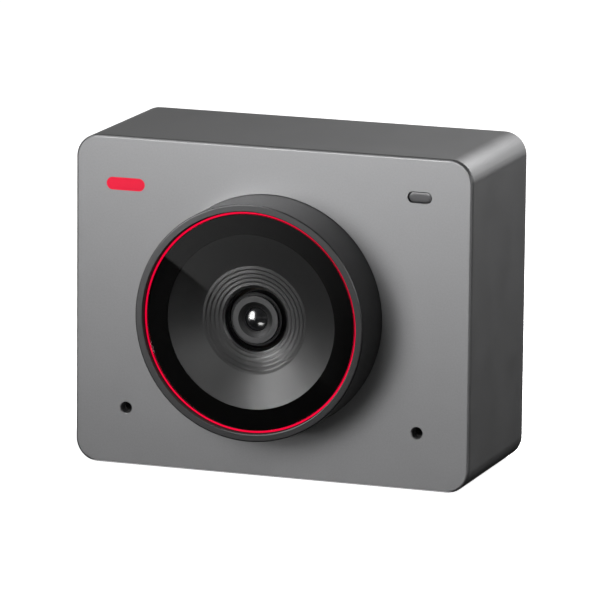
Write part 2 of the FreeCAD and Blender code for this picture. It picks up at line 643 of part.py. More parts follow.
def inner_frame():
    size = (CAVITY_WIDTH - 2 * FIT, CAVITY_HEIGHT - 2 * FIT)
    plate = rounded_slab(size, CAVITY_CORNER - FIT, (FRAME_FRONT_Y, FRAME_REAR_Y))
    posts = [rod(POST_RADIUS, (FRAME_FRONT_Y, BOARD_FRONT_Y), place) for place in POSTS]
    through = (FRAME_FRONT_Y - WALL, FRAME_REAR_Y + WALL)
    cuts = [rod(FLANGE_RADIUS + FIT, (FRAME_FRONT_Y - WALL, FLANGE_REAR_Y)), slab((FRAME_WINDOW, FRAME_WINDOW), through)]
    cuts += [screw_hole(LONG_SCREW, (FRAME_REAR_Y, BOARD_FRONT_Y + WALL), place) for place in POSTS]
    cuts += [screw_hole(COLLAR_SCREW, through, place) for place in collar_screw_places()]
    cuts += [screw_hole(BRACKET_SCREW, through, place) for place in bracket_screw_places()]
    cuts += [rod(GASKET_RADIUS + FIT, through, place) for place in mic_places()]
    rim_y = FRAME_FRONT_Y - WALL, PLATE_REAR_Y + LIGHT_PIPE_RIM_THICKNESS + FIT
    rim_size = [length + 2 * (LIGHT_PIPE_RIM + FIT) for length in LIGHT_SLOT]
    cuts += [pill(rim_size, rim_y, light_place()), pill(LIGHT_SLOT, through, light_place())]
    return without(joined([plate] + posts), cuts)


def plate_adhesive():
    size = (CAVITY_WIDTH - 2 * FIT, CAVITY_HEIGHT - 2 * FIT)
    y = (PLATE_REAR_Y, FRAME_FRONT_Y)
    through = (PLATE_REAR_Y - WALL, FRAME_FRONT_Y + WALL)
    rim_size = [length + 2 * (LIGHT_PIPE_RIM + FIT) for length in LIGHT_SLOT]
    cuts = [rod(FLANGE_RADIUS + FIT, through), pill(rim_size, through, light_place())]
    cuts += [rod(GASKET_RADIUS + FIT, through, place) for place in mic_places()]
    return without(rounded_slab(size, CAVITY_CORNER - FIT, y), cuts)


def collar_screws():
    tip_y = FLANGE_REAR_Y - COLLAR_THREAD_LENGTH
    return group([screw(COLLAR_SCREW, place, FRAME_REAR_Y, tip_y) for place in collar_screw_places()])


def bracket_screws():
    tip_y = FLANGE_REAR_Y + FIT
    return group([screw(BRACKET_SCREW, place, BRACKET_REAR_Y, tip_y) for place in bracket_screw_places()])


def microphone_gaskets():
    return group([tube(GASKET_RADIUS, GASKET_BORE_RADIUS, (PLATE_REAR_Y, FRAME_REAR_Y), place)
                  for place in mic_places()])


def microphone_boards():
    boards = []
    y = (FRAME_REAR_Y, FRAME_REAR_Y + SMALL_BOARD_THICKNESS)
    for board_place, mic_place in zip(mic_board_places(), mic_places()):
        boards.append(slab(MIC_BOARD_SIZE, y, board_place).cut(rod(GASKET_BORE_RADIUS, y, mic_place)))
    return group(boards)


def microphones():
    rear = FRAME_REAR_Y + SMALL_BOARD_THICKNESS
    return group([slab(MIC_SIZE[:2], (rear, rear + MIC_SIZE[2]), place) for place in mic_places()])


def light_pipe():
    shrink = [length - 2 * FIT for length in LIGHT_SLOT]
    rim_size = [length + 2 * LIGHT_PIPE_RIM for length in LIGHT_SLOT]
    front = pill(shrink, (FACE_Y + LIGHT_SETBACK, PLATE_REAR_Y + FIT), light_place())
    rim = pill(rim_size, (PLATE_REAR_Y, PLATE_REAR_Y + LIGHT_PIPE_RIM_THICKNESS), light_place())
    end_y = FRAME_REAR_Y - LED_SIZE[2] - FIT
    stem = pill(shrink, (PLATE_REAR_Y + LIGHT_PIPE_RIM_THICKNESS / 2, end_y), light_place())
    return joined([front, rim, stem])


def status_light():
    return slab(LED_SIZE[:2], (FRAME_REAR_Y - LED_SIZE[2], FRAME_REAR_Y), light_place())


def light_board():
    y = (FRAME_REAR_Y, FRAME_REAR_Y + SMALL_BOARD_THICKNESS)
    return slab(LIGHT_BOARD_SIZE, y, light_board_place())


def signal_flexes():
    """Strips from the small front boards straight back to the main board."""
    y = (FRAME_REAR_Y + SMALL_BOARD_THICKNESS, BOARD_FRONT_Y)
    half = FLEX_THICKNESS / 2
    middle_y = (y[0] + half, y[1] - half)
    strips = []
    for x, _ in mic_board_places():
        strips.append(ribbon([(depth, mic_flex_height()) for depth in middle_y], FLEX_WIDTH, x))
    x, z = light_board_place()
    strips.append(ribbon([(depth, z) for depth in middle_y], FLEX_WIDTH, x))
    return group(strips)


def sensor_flex():
    """Strip from the sensor board's foot through the bracket to its connector."""
    half = FLEX_THICKNESS / 2
    foot_y = STIFFENER_Y + half
    socket_y = BOARD_FRONT_Y - CONNECTOR_SIZE[2] - half
    bend_z = LENS_Z - SENSOR_BOARD_WIDTH / 2 + 2 * FLEX_THICKNESS
    path = [(foot_y, bend_z + SENSOR_FLEX_FOOT), (foot_y, bend_z), (socket_y, bend_z),
            (socket_y, flex_connector_height() - CONNECTOR_SIZE[1] / 2)]
    return ribbon(path, SENSOR_FLEX_WIDTH, LENS_X)


def flex_connector_height():
    return LENS_Z - SENSOR_BOARD_WIDTH / 2 - CONNECTOR_SIZE[1] / 2


def flex_connector():
    y = (BOARD_FRONT_Y - CONNECTOR_SIZE[2], BOARD_FRONT_Y)
    return slab(CONNECTOR_SIZE[:2], y, (LENS_X, flex_connector_height()))


def main_board():
    size = (CAVITY_WIDTH - 2 * BOARD_MARGIN, CAVITY_HEIGHT - 2 * BOARD_MARGIN)
    board = rounded_slab(size, CAVITY_CORNER - BOARD_MARGIN, (BOARD_FRONT_Y, BOARD_REAR_Y))
    through = (BOARD_FRONT_Y - WALL, BOARD_REAR_Y + WALL)
    notch_top = SOCKET_DEPTH + SOCKET_ROOF + BOARD_MARGIN
    notch = block((-BOARD_NOTCH_WIDTH / 2, BOARD_NOTCH_WIDTH / 2), through, (0.0, notch_top))
    holes = [screw_hole(LONG_SCREW, through, place) for place in POSTS]
    holes += [screw_hole(SINK_SCREW, through, place) for place in sink_foot_places()]
    return without(board, [notch] + holes)


def processor():
    return slab(CHIP_SIZE[:2], (BOARD_REAR_Y, BOARD_REAR_Y + CHIP_SIZE[2]), (0.0, CHIP_Z))


def thermal_pad():
    y = BOARD_REAR_Y + CHIP_SIZE[2]
    return slab((CHIP_SIZE[0] - WALL, CHIP_SIZE[1] - WALL), (y, y + PAD_THICKNESS), (0.0, CHIP_Z))


def heat_sink():
    base = slab(SINK_SIZE, (SINK_FRONT_Y, SINK_REAR_Y), (0.0, CHIP_Z))
    parts = [base]
    outer_fin_x = SINK_SIZE[0] / 2 - 2 * SINK_FOOT_RADIUS - SINK_FOOT_TO_FIN - SINK_FIN / 2
    fin_y = (SINK_REAR_Y - SINK_BASE / 2, COVER_FRONT_Y - SINK_TO_COVER)
    for index in range(SINK_FIN_COUNT):
        x = outer_fin_x * (2 * index / (SINK_FIN_COUNT - 1) - 1)
        parts.append(slab((SINK_FIN, SINK_SIZE[1]), fin_y, (x, CHIP_Z)))
    parts += [rod(SINK_FOOT_RADIUS, (BOARD_REAR_Y, SINK_REAR_Y - SINK_BASE / 2), place)
              for place in sink_foot_places()]
    holes = [screw_hole(SINK_SCREW, (BOARD_REAR_Y - WALL, SINK_REAR_Y + WALL), place)
             for place in sink_foot_places()]
    return without(joined(parts), holes)


def heat_sink_screws():
    return group([screw(SINK_SCREW, place, SINK_REAR_Y, BOARD_FRONT_Y) for place in sink_foot_places()])


def shield_place():
    edge = BRACKET_SIZE[0] / 2
    return (-(edge + CAVITY_WIDTH / 2 - BOARD_MARGIN) / 2, MIDDLE[1])


def shield_can():
    y = (BOARD_FRONT_Y - SHIELD_SIZE[2], BOARD_FRONT_Y)
    inner = (SHIELD_SIZE[0] - 2 * SHIELD_WALL, SHIELD_SIZE[1] - 2 * SHIELD_WALL)
    room = slab(inner, (y[0] + SHIELD_WALL, y[1] + WALL), shield_place())
    return slab(SHIELD_SIZE[:2], y, shield_place()).cut(room)


def memory_chips():
    x, z = shield_place()
    y = (BOARD_FRONT_Y - MEMORY_SIZE[2], BOARD_FRONT_Y)
    offset = SHIELD_SIZE[1] / 4
    return group([slab(MEMORY_SIZE[:2], y, (x, z + up * offset)) for up in (-1, 1)])


def power_coils():
    x = -shield_place()[0]
    y = (BOARD_FRONT_Y - COIL_SIZE[2], BOARD_FRONT_Y)
    first = mic_flex_height() + FLEX_THICKNESS / 2 + COIL_CHIP_TO_FLEX + COIL_SIZE[1] / 2
    return group([slab(COIL_SIZE[:2], y, (x, first + COIL_CHIP_PITCH * index))
                  for index in range(COIL_CHIP_COUNT)])


def port_outline(grow, y):
    size = (PORT_WIDTH + 2 * grow, PORT_HEIGHT + 2 * grow)
    return pill(size, y, (0.0, PORT_CENTRE_HEIGHT))


def usb_shell():
    shell = port_outline(0.0, (BOARD_REAR_Y, PORT_MOUTH_Y))
    return shell.cut(port_outline(-PORT_WALL, (BOARD_REAR_Y - WALL, PORT_MOUTH_Y + WALL)))


def usb_tongue():
    core = port_outline(-PORT_WALL - FIT / 2, (BOARD_REAR_Y, PORT_MOUTH_Y - PORT_CAVITY))
    width, height, length = PORT_TONGUE
    y = (PORT_MOUTH_Y - PORT_CAVITY - WALL / 2, PORT_MOUTH_Y - PORT_CAVITY + length)
    return joined([core, slab((width, height), y, (0.0, PORT_CENTRE_HEIGHT))])


def rear_cover():
    size = (CAVITY_WIDTH + 2 * (COVER_LEDGE - SEAM), CAVITY_HEIGHT + 2 * (COVER_LEDGE - SEAM))
    plate = rounded_slab(size, CAVITY_CORNER + COVER_LEDGE - SEAM, (COVER_FRONT_Y, BACK_Y))
    posts = [rod(POST_RADIUS, (BOARD_REAR_Y, BACK_Y - COVER_THICKNESS / 2), place) for place in POSTS]
    through = (BOARD_REAR_Y - WALL, BACK_Y + WALL)
    cuts = [port_outline(PORT_MARGIN, through)]
    for place in POSTS:
        cuts.append(screw_hole(LONG_SCREW, through, place))
        cuts.append(rod(LONG_SCREW["head"] + FIT, (BACK_Y - SCREW_HEAD_DEPTH, BACK_Y + WALL), place))
    for index in range(VENT_COUNT):
        x = VENT_PITCH * (index - (VENT_COUNT - 1) / 2)
        cuts.append(pill((VENT_LENGTH, VENT_WIDTH), (COVER_FRONT_Y - WALL, BACK_Y + WALL), (0.0, 0.0)))
        cuts[-1].rotate(FreeCAD.Vector(0, 0, 0), FreeCAD.Vector(0, 1, 0), 90)
        cuts[-1].translate(FreeCAD.Vector(x, 0, CHIP_Z))
    return without(joined([plate] + posts), cuts)


def cover_screws():
    head_y = BACK_Y - SCREW_HEAD_DEPTH
    tip_y = FRAME_REAR_Y + FIT
    return group([screw(LONG_SCREW, place, head_y, tip_y) for place in POSTS])


def tripod_socket():
    height = SOCKET_DEPTH + SOCKET_ROOF
    body = Part.makeCylinder(SOCKET_RADIUS, height)
    flange = Part.makeCylinder(SOCKET_FLANGE_RADIUS, SOCKET_FLANGE_THICKNESS, FreeCAD.Vector(0, 0, WALL))
    bore = Part.makeCylinder(SOCKET_BORE_RADIUS, SOCKET_DEPTH + WALL, FreeCAD.Vector(0, 0, -WALL))
    return joined([body, flange]).cut(bore)


NODES = {
    "front_plate": front_plate,
    "body_sleeve": body_sleeve,
    "lens_collar": lens_collar,
    "accent_ring": accent_ring,
    "cover_glass": cover_glass,
    "window_mask": window_mask,
    "funnel_baffle": funnel_baffle,
    "dust_foam": dust_foam,
    "lens_barrel": lens_barrel,
    "front_lens_element": lambda: lens_element(0),
    "second_lens_element": lambda: lens_element(1),
    "third_lens_element": lambda: lens_element(2),
    "fourth_lens_element": lambda: lens_element(3),
    "rear_lens_element": lambda: lens_element(4),
    "lens_spacers": lens_spacers,
    "lens_retainer": lens_retainer,
    "focus_carrier": focus_carrier,
    "focus_coil": focus_coil,
    "focus_magnets": focus_magnets,
    "focus_yoke": focus_yoke,
    "focus_front_spring": lambda: leaf_spring(CARRIER_FRONT_Y - SPRING_THICKNESS),
    "focus_rear_spring": lambda: leaf_spring(YOKE_REAR_Y),
    "focus_base": focus_base,
    "sensor_holder": sensor_holder,
    "infrared_filter": infrared_filter,
    "image_sensor": image_sensor,
    "sensor_board": sensor_board,
    "sensor_stiffener": sensor_stiffener,
    "sensor_flex": sensor_flex,
    "flex_connector": flex_connector,
    "module_bracket": module_bracket,
    "bracket_screws": bracket_screws,
    "inner_frame": inner_frame,
    "plate_adhesive": plate_adhesive,
    "collar_screws": collar_screws,
    "microphone_gaskets": microphone_gaskets,
    "microphone_boards": microphone_boards,
    "microphones": microphones,
    "light_pipe": light_pipe,
    "status_light": status_light,
    "light_board": light_board,
    "signal_flexes": signal_flexes,
    "main_board": main_board,
    "processor": processor,
    "thermal_pad": thermal_pad,
    "heat_sink": heat_sink,
    "heat_sink_screws": heat_sink_screws,
    "shield_can": shield_can,
    "memory_chips": memory_chips,
    "power_coils": power_coils,
    "usb_shell": usb_shell,
    "usb_tongue": usb_tongue,
    "rear_cover": rear_cover,
    "cover_screws": cover_screws,
    "tripod_socket": tripod_socket,
}

os.makedirs("parts", exist_ok=True)
for name, make in NODES.items():
    shape = make()
    print(name, len(shape.Solids), "valid" if shape.isValid() else "NOT VALID", round(shape.Volume, 3))
    shape.exportStep("parts/" + name + ".step")
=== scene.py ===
import json
from math import cos, pi, radians, sin, sqrt, tan

import bmesh
import bpy
from bpy.props import FloatProperty, FloatVectorProperty, IntProperty, PointerProperty
from mathutils import Matrix, Vector

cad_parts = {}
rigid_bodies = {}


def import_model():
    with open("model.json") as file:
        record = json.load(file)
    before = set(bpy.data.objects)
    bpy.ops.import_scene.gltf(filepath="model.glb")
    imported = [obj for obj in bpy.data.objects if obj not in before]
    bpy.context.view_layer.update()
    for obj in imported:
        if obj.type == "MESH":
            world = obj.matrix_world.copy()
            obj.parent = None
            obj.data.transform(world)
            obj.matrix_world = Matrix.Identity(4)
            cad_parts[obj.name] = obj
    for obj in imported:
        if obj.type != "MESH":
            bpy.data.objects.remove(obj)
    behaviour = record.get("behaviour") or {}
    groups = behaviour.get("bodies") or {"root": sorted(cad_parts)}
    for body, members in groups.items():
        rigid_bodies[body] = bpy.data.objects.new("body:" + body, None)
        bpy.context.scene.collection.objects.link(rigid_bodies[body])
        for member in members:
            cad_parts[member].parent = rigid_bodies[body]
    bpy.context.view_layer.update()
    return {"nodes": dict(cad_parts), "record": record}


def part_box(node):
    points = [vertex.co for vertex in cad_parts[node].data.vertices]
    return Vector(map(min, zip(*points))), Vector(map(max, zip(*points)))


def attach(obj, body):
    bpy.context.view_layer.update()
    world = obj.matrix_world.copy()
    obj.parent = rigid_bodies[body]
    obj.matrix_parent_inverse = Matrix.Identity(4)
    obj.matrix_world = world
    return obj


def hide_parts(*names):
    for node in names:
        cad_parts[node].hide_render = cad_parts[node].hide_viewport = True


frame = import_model()

bl_info = {
    "name": "Compact Webcam",
    "version": (1, 0, 0),
    "blender": (4, 5, 0),
    "location": "View3D > Sidebar > Webcam",
    "description": "Detailed pieces, finishes and studio for a compact webcam on its packed frame",
    "category": "Object",
}

# Meshes are made in millimetres and brought to metres when a piece is finished
MM = 1000.0
SMOOTH_ANGLE = radians(32)
# Gap between pieces that fit into one another
FIT = 0.05
HOUSING, FOCUS = "housing", "focus_group"


class Box:
    """A CAD node's box in millimetres, with its width, height and middle seen from the front."""

    def __init__(self, node):
        low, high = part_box(node)
        self.low, self.high = low * MM, high * MM
        self.width, self.height = self.high.x - self.low.x, self.high.z - self.low.z
        self.middle = ((self.low.x + self.high.x) / 2, (self.low.z + self.high.z) / 2)


(PLATE, SLEEVE, COLLAR, GLASS, RING, MASK, BAFFLE, BARREL, COVER, SHELL, TONGUE, SOCKET, PIPE, SCREWS,
 SINK) = (Box(node) for node in (
    "front_plate", "body_sleeve", "lens_collar", "cover_glass", "accent_ring", "window_mask", "funnel_baffle",
    "lens_barrel", "rear_cover", "usb_shell", "usb_tongue", "tripod_socket", "light_pipe", "cover_screws",
    "heat_sink"))
LENS, MIDDLE = GLASS.middle, SLEEVE.middle
FACE_Y, BACK_Y = PLATE.low.y, SLEEVE.high.y

LENS_ELEMENTS = ("front_lens_element", "second_lens_element", "third_lens_element", "fourth_lens_element",
                 "rear_lens_element")
# Distances along the barrel from each lens seat to the next
SEAT_STEPS = (0.65, 0.6, 0.65, 0.65)
# Length and width of the indicator slot in the plate, and of the light pipe in it
SLOT_SIZE, PIPE_SIZE = (2.7, 1.2), (2.6, 1.1)
# Depth of the rear cover's seat, radius of the tripod socket's neck, and of the cover screws' heads
COVER_DEPTH, SOCKET_RADIUS, SCREW_HEAD = 1.4, 4.2, 1.35
# Middle, half length and half height of the red dash on the plate
DASH = (-16.78, 31.0), 2.2, 0.7
# Signs of x and z in the four corners, in order around the depth axis
CORNERS = ((1, 1), (-1, 1), (-1, -1), (1, -1))


def size(name, description, default):
    return FloatProperty(name=name, description=description, default=default, unit="LENGTH", precision=5)


def level(name, description, default, **more):
    return FloatProperty(name=name, description=description, default=default, min=0, **more)


def tint(name, description, default):
    return FloatVectorProperty(name=name, description=description, default=default, subtype="COLOR", min=0,
                               max=1)


class WebcamSizes(bpy.types.PropertyGroup):
    """Sizes that the pieces are built from, in metres."""
    corner_radius: size("Corner radius", "Radius of the body's long edges", 0.0025)
    edge_round: size("Edge round", "Radius along the front and rear edges of the body", 0.00028)
    wall: size("Wall", "Thickness of the metal sleeve", 0.0013)
    plate_rim: size("Plate rim", "Thickness of the front plate at its edge", 0.0004)
    collar_radius: size("Collar radius", "Outer radius of the lens collar", 0.0129)
    rim_width: size("Rim width", "Width of the flat rim of the collar", 0.00082)
    rim_chamfer: size("Rim chamfer", "Rounded edges of the collar's rim", 0.00017)
    ring_width: size("Ring width", "Radial width of the accent ring", 0.0002)
    window_radius: size("Window radius", "Clear radius inside the printed band", 0.00949)
    steps_radius: size("Steps radius", "Outer radius of the stepped rings", 0.0059)
    step_pitch: size("Step pitch", "Radial width of each stepped ring", 0.00046)
    riser_width: size("Riser width", "Radial width of the slope between two rings", 0.00015)
    step_drop: size("Step drop", "How far each ring lies behind the one outside it", 0.000083)
    step_count: IntProperty(name="Step count", description="Number of stepped rings", default=5, min=1)
    hole_edge: size("Hole edge", "Sloping edge of the hole in front of the lens", 0.00016)
    nose_radius: size("Barrel nose", "Radius of the lens barrel's nose", 0.0026)
    dish_radius: size("Dish radius", "Outer radius of the dished barrel front", 0.00195)
    aperture_radius: size("Aperture", "Radius of the opening over the first lens", 0.0013)
    mic_x: size("Microphone offset", "Distance of each microphone hole from the middle", 0.01665)
    mic_z: size("Microphone height", "Height of the microphone holes", 0.0063)
    mic_radius: size("Microphone hole", "Radius of the microphone holes", 0.0006)
    vent_length: size("Vent length", "Length of each vent slot", 0.012)
    vent_width: size("Vent width", "Width of each vent slot", 0.0009)
    vent_pitch: size("Vent pitch", "Distance between vent slots", 0.0026)
    vent_count: IntProperty(name="Vent count", description="Number of vent slots", default=9, min=1)
    thread_pitch: size("Thread pitch", "Pitch of the tripod socket's thread, 20 to the inch", 0.00127)


class WebcamFinishes(bpy.types.PropertyGroup):
    """Colours of the finishes."""
    plate: tint("Front plate", "Bead-blasted plate", (0.312, 0.312, 0.317))
    sleeve: tint("Sleeve", "Satin body sleeve", (0.24, 0.24, 0.243))
    collar: tint("Collar", "Dark satin collar", (0.058, 0.058, 0.059))
    accent: tint("Accent", "Red ring", (1.0, 0.0, 0.045))
    baffle: tint("Baffle", "Satin black funnel", (0.012, 0.012, 0.0122))
    cover: tint("Rear cover", "Fine grained cover", (0.05, 0.05, 0.052))


class WebcamStudio(bpy.types.PropertyGroup):
    """Levels of the studio."""
    room: level("Room light", "Brightness of the grey room", 0.12)
    floor: level("Floor level", "Whiteness that the floor keeps in shadow", 0.88)
    left_card: level("Left card", "Brightness of the floor on the left in reflections", 0.0)
    front_card: level("Front card", "Brightness of the floor at the front right in reflections", 0.0735)
    back_card: level("Back card", "Brightness of the floor at the back right in reflections", 0.0)
    catch: level("Catch light", "Power of the small lamps that show in the front lens", 0.3, subtype="POWER")


def new_node(tree, kind, settings, sockets):
    """Node of a tree with its settings, and with the values or links of its sockets."""
    node = tree.nodes.new(kind)
    for key, value in (settings or {}).items():
        setattr(node, key, value)
    for key, value in (sockets or {}).items():
        link = getattr(value, "socket", value)
        if isinstance(link, bpy.types.NodeSocket):
            tree.links.new(link, node.inputs[key])
        else:
            node.inputs[key].default_value = value
    return node


class Value:
    """A shader socket: arithmetic on it adds Math nodes."""

    def __init__(self, shader, socket):
        self.shader, self.socket = shader, socket

    def math(self, operation, *others, swap=False):
        values = [self, *others]
        if swap:
            values.reverse()
        return self.shader.add("Math", {"operation": operation}, dict(enumerate(values)))

    def __add__(self, other):
        return self.math("ADD", other)

    def __sub__(self, other):
        return self.math("SUBTRACT", other)

    def __rsub__(self, other):
        return self.math("SUBTRACT", other, swap=True)

    def __mul__(self, other):
        return self.math("MULTIPLY", other)

    def __truediv__(self, other):
        return self.math("DIVIDE", other)

    __radd__, __rmul__ = __add__, __mul__

    def high(self, other):
        return self.math("MAXIMUM", other)

    def size(self):
        return self.math("ABSOLUTE")

    def waves(self, pitch):
        """Even waves between 0 and 1."""
        return (self * (2 * pi / pitch)).math("SINE") * 0.5 + 0.5

    def ramp(self, start, end, low=0.0, high=1.0):
        """Smooth step from low to high between start and end."""
        return self.shader.add("MapRange", {"interpolation_type": "SMOOTHSTEP"},
                               {0: self, 1: start, 2: end, 3: low, 4: high})


class Shader:
    """One material's nodes, ending in a Principled surface unless another is given."""

    def __init__(self, name):
        self.material = bpy.data.materials.new(name)
        self.material.use_nodes = True
        self.tree = self.material.node_tree
        self.tree.nodes.clear()

    def add(self, kind, settings=None, sockets=None, output=0):
        node = new_node(self.tree, "ShaderNode" + kind, settings, sockets)
        return None if output is None else Value(self, node.outputs[output])

    def place(self, scale=1.0, centre=(0, 0, 0)):
        """Object coordinates in millimetres about a centre, scaled."""
        points = self.add("TexCoord", output=3)
        factors = [MM * scale] * 3 if isinstance(scale, (int, float)) else [MM * part for part in scale]
        moved = self.add("VectorMath", {"operation": "SUBTRACT"},
                         {0: points, 1: [part / MM for part in centre]})
        return self.add("Mapping", {"vector_type": "POINT"}, {0: moved, "Scale": factors})

    def axes(self, points):
        parts = self.add("SeparateXYZ", None, {0: points})
        node = parts.socket.node
        return [Value(self, node.outputs[index]) for index in range(3)]

    def noise(self, points, scale, detail=2.0, rough=0.5, kind="Noise"):
        if kind == "Voronoi":
            return self.add("TexVoronoi", None, {"Vector": points, "Scale": scale})
        return self.add("TexNoise", None,
                        {"Vector": points, "Scale": scale, "Detail": detail, "Roughness": rough})

    def mix(self, factor, first, second):
        """Colour mix: first where the factor is 0, second where it is 1."""
        return self.add("Mix", {"data_type": "RGBA"}, {0: factor, 6: colour4(first), 7: colour4(second)}, 2)

    def shade(self, factor, colour, dark, light):
        """A colour that runs from a darker to a lighter tone of itself."""
        return self.mix(factor, scaled(colour, dark), scaled(colour, light))

    def bump(self, height, distance):
        return self.add("Bump", None, {"Height": height, "Distance": distance / MM})

    def surface(self, **sockets):
        """Principled surface as the material's output."""
        named = {key.replace("_", " ").title().replace("Ior", "IOR"): value for key, value in sockets.items()}
        named["Base Color"] = colour4(named["Base Color"])
        if "Emission Color" in named:
            named["Emission Color"] = colour4(named["Emission Color"])
        self.output(self.add("BsdfPrincipled", None, named))
        return self.material

    def output(self, shader):
        self.add("OutputMaterial", None, {0: shader}, None)


def colour4(colour):
    return colour if isinstance(colour, Value) else (*list(colour)[:3], 1.0)


def scaled(colour, factor):
    return tuple(part * factor for part in list(colour)[:3])


def satin_metal(name, colour, roughness, depth=0.004, extra=None):
    """Bead-blasted, anodised metal: a fine pitted grain and a faint cloudiness."""
    shader = Shader(name)
    points = shader.place()
    fine = shader.noise(points, 5.0, 3.0, 0.6)
    cloud = shader.noise(points, 0.22, 2.0)
    tone = fine.ramp(0.3, 0.7, -0.5, 0.5)
    base = shader.shade(shader.add("Clamp", None, {0: tone * 0.5 + cloud * 0.5 + 0.25}), colour, 0.94, 1.06)
    rough = fine * 0.1 + cloud * 0.04 + (roughness - 0.07)
    sockets = {"base_color": base, "roughness": rough, "metallic": 1.0, "normal": shader.bump(fine, depth)}
    if extra:
        sockets.update(extra(shader, points, sockets))
    return shader.surface(**sockets)


def red_print(accent, centre, half_length, half_height):
    """Extra sockets for a small printed dash with round ends."""
    def extra(shader, points, sockets):
        x, y, z = shader.axes(points)
        along = ((x - centre[0]).size() - (half_length - half_height)).high(0.0)
        up = z - centre[1]
        distance = (along * along + up * up).math("SQRT")
        front = (y - (FACE_Y + 0.02)).math("LESS_THAN", 0.0)
        mask = (1.0 - distance.ramp(half_height - 0.03, half_height + 0.03)) * front
        return {
            "base_color": shader.mix(mask, sockets["base_color"], scaled(accent, 0.72)),
            "metallic": 1.0 - mask,
            "roughness": sockets["roughness"] * (1.0 - mask) + mask * 0.42,
            "specular_ior_level": 0.2,
        }
    return extra


def moulded(name, colour, roughness, grain=3.0, depth=0.006, vary=0.1, coat=0.0, specular=0.5):
    """Moulded plastic or rubber with a fine spark-eroded grain."""
    shader = Shader(name)
    points = shader.place()
    fine = shader.noise(points, grain, 2.0, 0.55)
    cloud = shader.noise(points, 0.35, 2.0)
    base = shader.shade(cloud, colour, 1 - vary, 1 + vary)
    return shader.surface(base_color=base, roughness=fine * 0.12 + (roughness - 0.06), coat_weight=coat,
                          specular_ior_level=specular, normal=shader.bump(fine, depth))


def brushed(name, colour, roughness, along=0):
    """Rolled or drawn metal whose fine lines run along one axis."""
    shader = Shader(name)
    scale = [9.0, 9.0, 9.0]
    scale[along] = 0.6
    lines = shader.noise(shader.place(scale), 1.0, 3.0, 0.6)
    cloud = shader.noise(shader.place(), 0.3)
    base = shader.shade(lines, colour, 0.85, 1.12)
    return shader.surface(base_color=base, roughness=lines * 0.15 + cloud * 0.08 + (roughness - 0.1),
                          metallic=1.0, normal=shader.bump(lines, 0.003))


# Distance between the fine turning marks around the lens axis
MARKS_PITCH = 0.08


def around_lens(name):
    """A new shader, with points about the lens axis in millimetres, their radius and their depth."""
    shader = Shader(name)
    points = shader.place(1.0, (LENS[0], 0, LENS[1]))
    x, y, z = shader.axes(points)
    return shader, points, (x * x + z * z).math("SQRT"), y


def turned_metal_painted_shade(name, colour, roughness, marks_depth, painted_shade_radius):
    """Turned metal with fine marks around the lens axis, and painted shade inside a radius: matt black
    without sheen.
    """
    shader, points, radius, depth = around_lens(name)
    fine = shader.noise(points, 6.0, 3.0, 0.6)
    marks = (radius + depth * 0.7 + fine * 0.02).waves(MARKS_PITCH)
    # Painted shade: inside this radius the collar's inner wall is matt black with no sheen, as if in shadow.
    inside = radius.ramp(painted_shade_radius, painted_shade_radius + 0.02, 1.0, 0.0)
    base = shader.shade(fine, colour, 0.9, 1.1)
    rough = fine * 0.1 + marks * 0.02 + (roughness - 0.06)
    return shader.surface(base_color=shader.mix(inside, base, (0.004, 0.004, 0.004)),
                          roughness=rough + inside * (0.8 - roughness), metallic=1.0 - inside,
                          normal=shader.bump(marks * marks_depth + fine * 0.0015, 1.0))


def stepped_finish(name, colour, roughness, sizes, specular=0.8, marks_depth=0.0073):
    """Satin black moulding whose flat lands carry fine turning marks."""
    shader, points, radius, depth = around_lens(name)
    fine = shader.noise(points, 6.0, 3.0, 0.6)
    outer, step, riser = sizes.steps_radius * MM, sizes.step_pitch * MM, sizes.riser_width * MM
    across = ((outer - radius) / step).math("FRACT")
    land = across.math("LESS_THAN", 1 - riser / step) * radius.math("LESS_THAN", outer)
    land = land * radius.math("GREATER_THAN", outer - step * sizes.step_count + sizes.hole_edge * MM / 2)
    marks = radius.waves(MARKS_PITCH)
    base = shader.shade(fine, colour, 0.9, 1.1)
    return shader.surface(base_color=base, roughness=fine * 0.1 + (roughness - 0.05),
                          specular_ior_level=specular,
                          normal=shader.bump(marks * land * marks_depth + fine * 0.0015, 1.0))


def barrel_with_painted_shade(name, colour, roughness, sizes):
    """Satin black barrel: its flat front ring catches the light; the dish and the side get painted shade,
    matt black without sheen, and lighter rings painted inside the aperture stand for reflected light.
    """
    shader, points, radius, depth = around_lens(name)
    fine = shader.noise(points, 6.0, 2.0)
    dish, nose, hole = sizes.dish_radius * MM, sizes.nose_radius * MM, sizes.aperture_radius * MM
    # Painted shade: the dish and the side beyond the nose get a darker colour and no sheen.
    ring = radius.ramp(dish - 0.05, dish, 0.2, 1.0) * radius.ramp(nose, nose + 0.04, 1.0, 0.12)
    turns = radius.waves(2 * MARKS_PITCH)
    # Painted reflection: lighter rings inside the aperture.
    ring = ring + turns * radius.ramp(hole - 0.05, hole, 0.8, 0.0)
    base = shader.shade(fine * 0.2 + ring * 0.8, colour, 0.0, 1.15)
    return shader.surface(base_color=base, roughness=fine * 0.1 + (roughness - 0.05),
                          metallic=(1.0 - ring) * 0.7, normal=shader.bump(fine, 0.0015))


def clear_sheet(name, reflectance, spot):
    """Clear glass: its reflection grows towards the edge, and is weak inside the coated spot."""
    shader, points, radius, depth = around_lens(name)
    mirror = shader.add("Fresnel", None, {"IOR": 1.5}) * (reflectance / 0.04)
    mirror = mirror * radius.ramp(spot - 0.3, spot + 0.3, 0.05, 1.0)
    smear = shader.noise(points, 0.4, 2.0)
    return shader.surface(base_color=(1, 1, 1), metallic=1.0, roughness=smear * 0.01,
                          alpha=shader.add("Clamp", None, {0: mirror}))


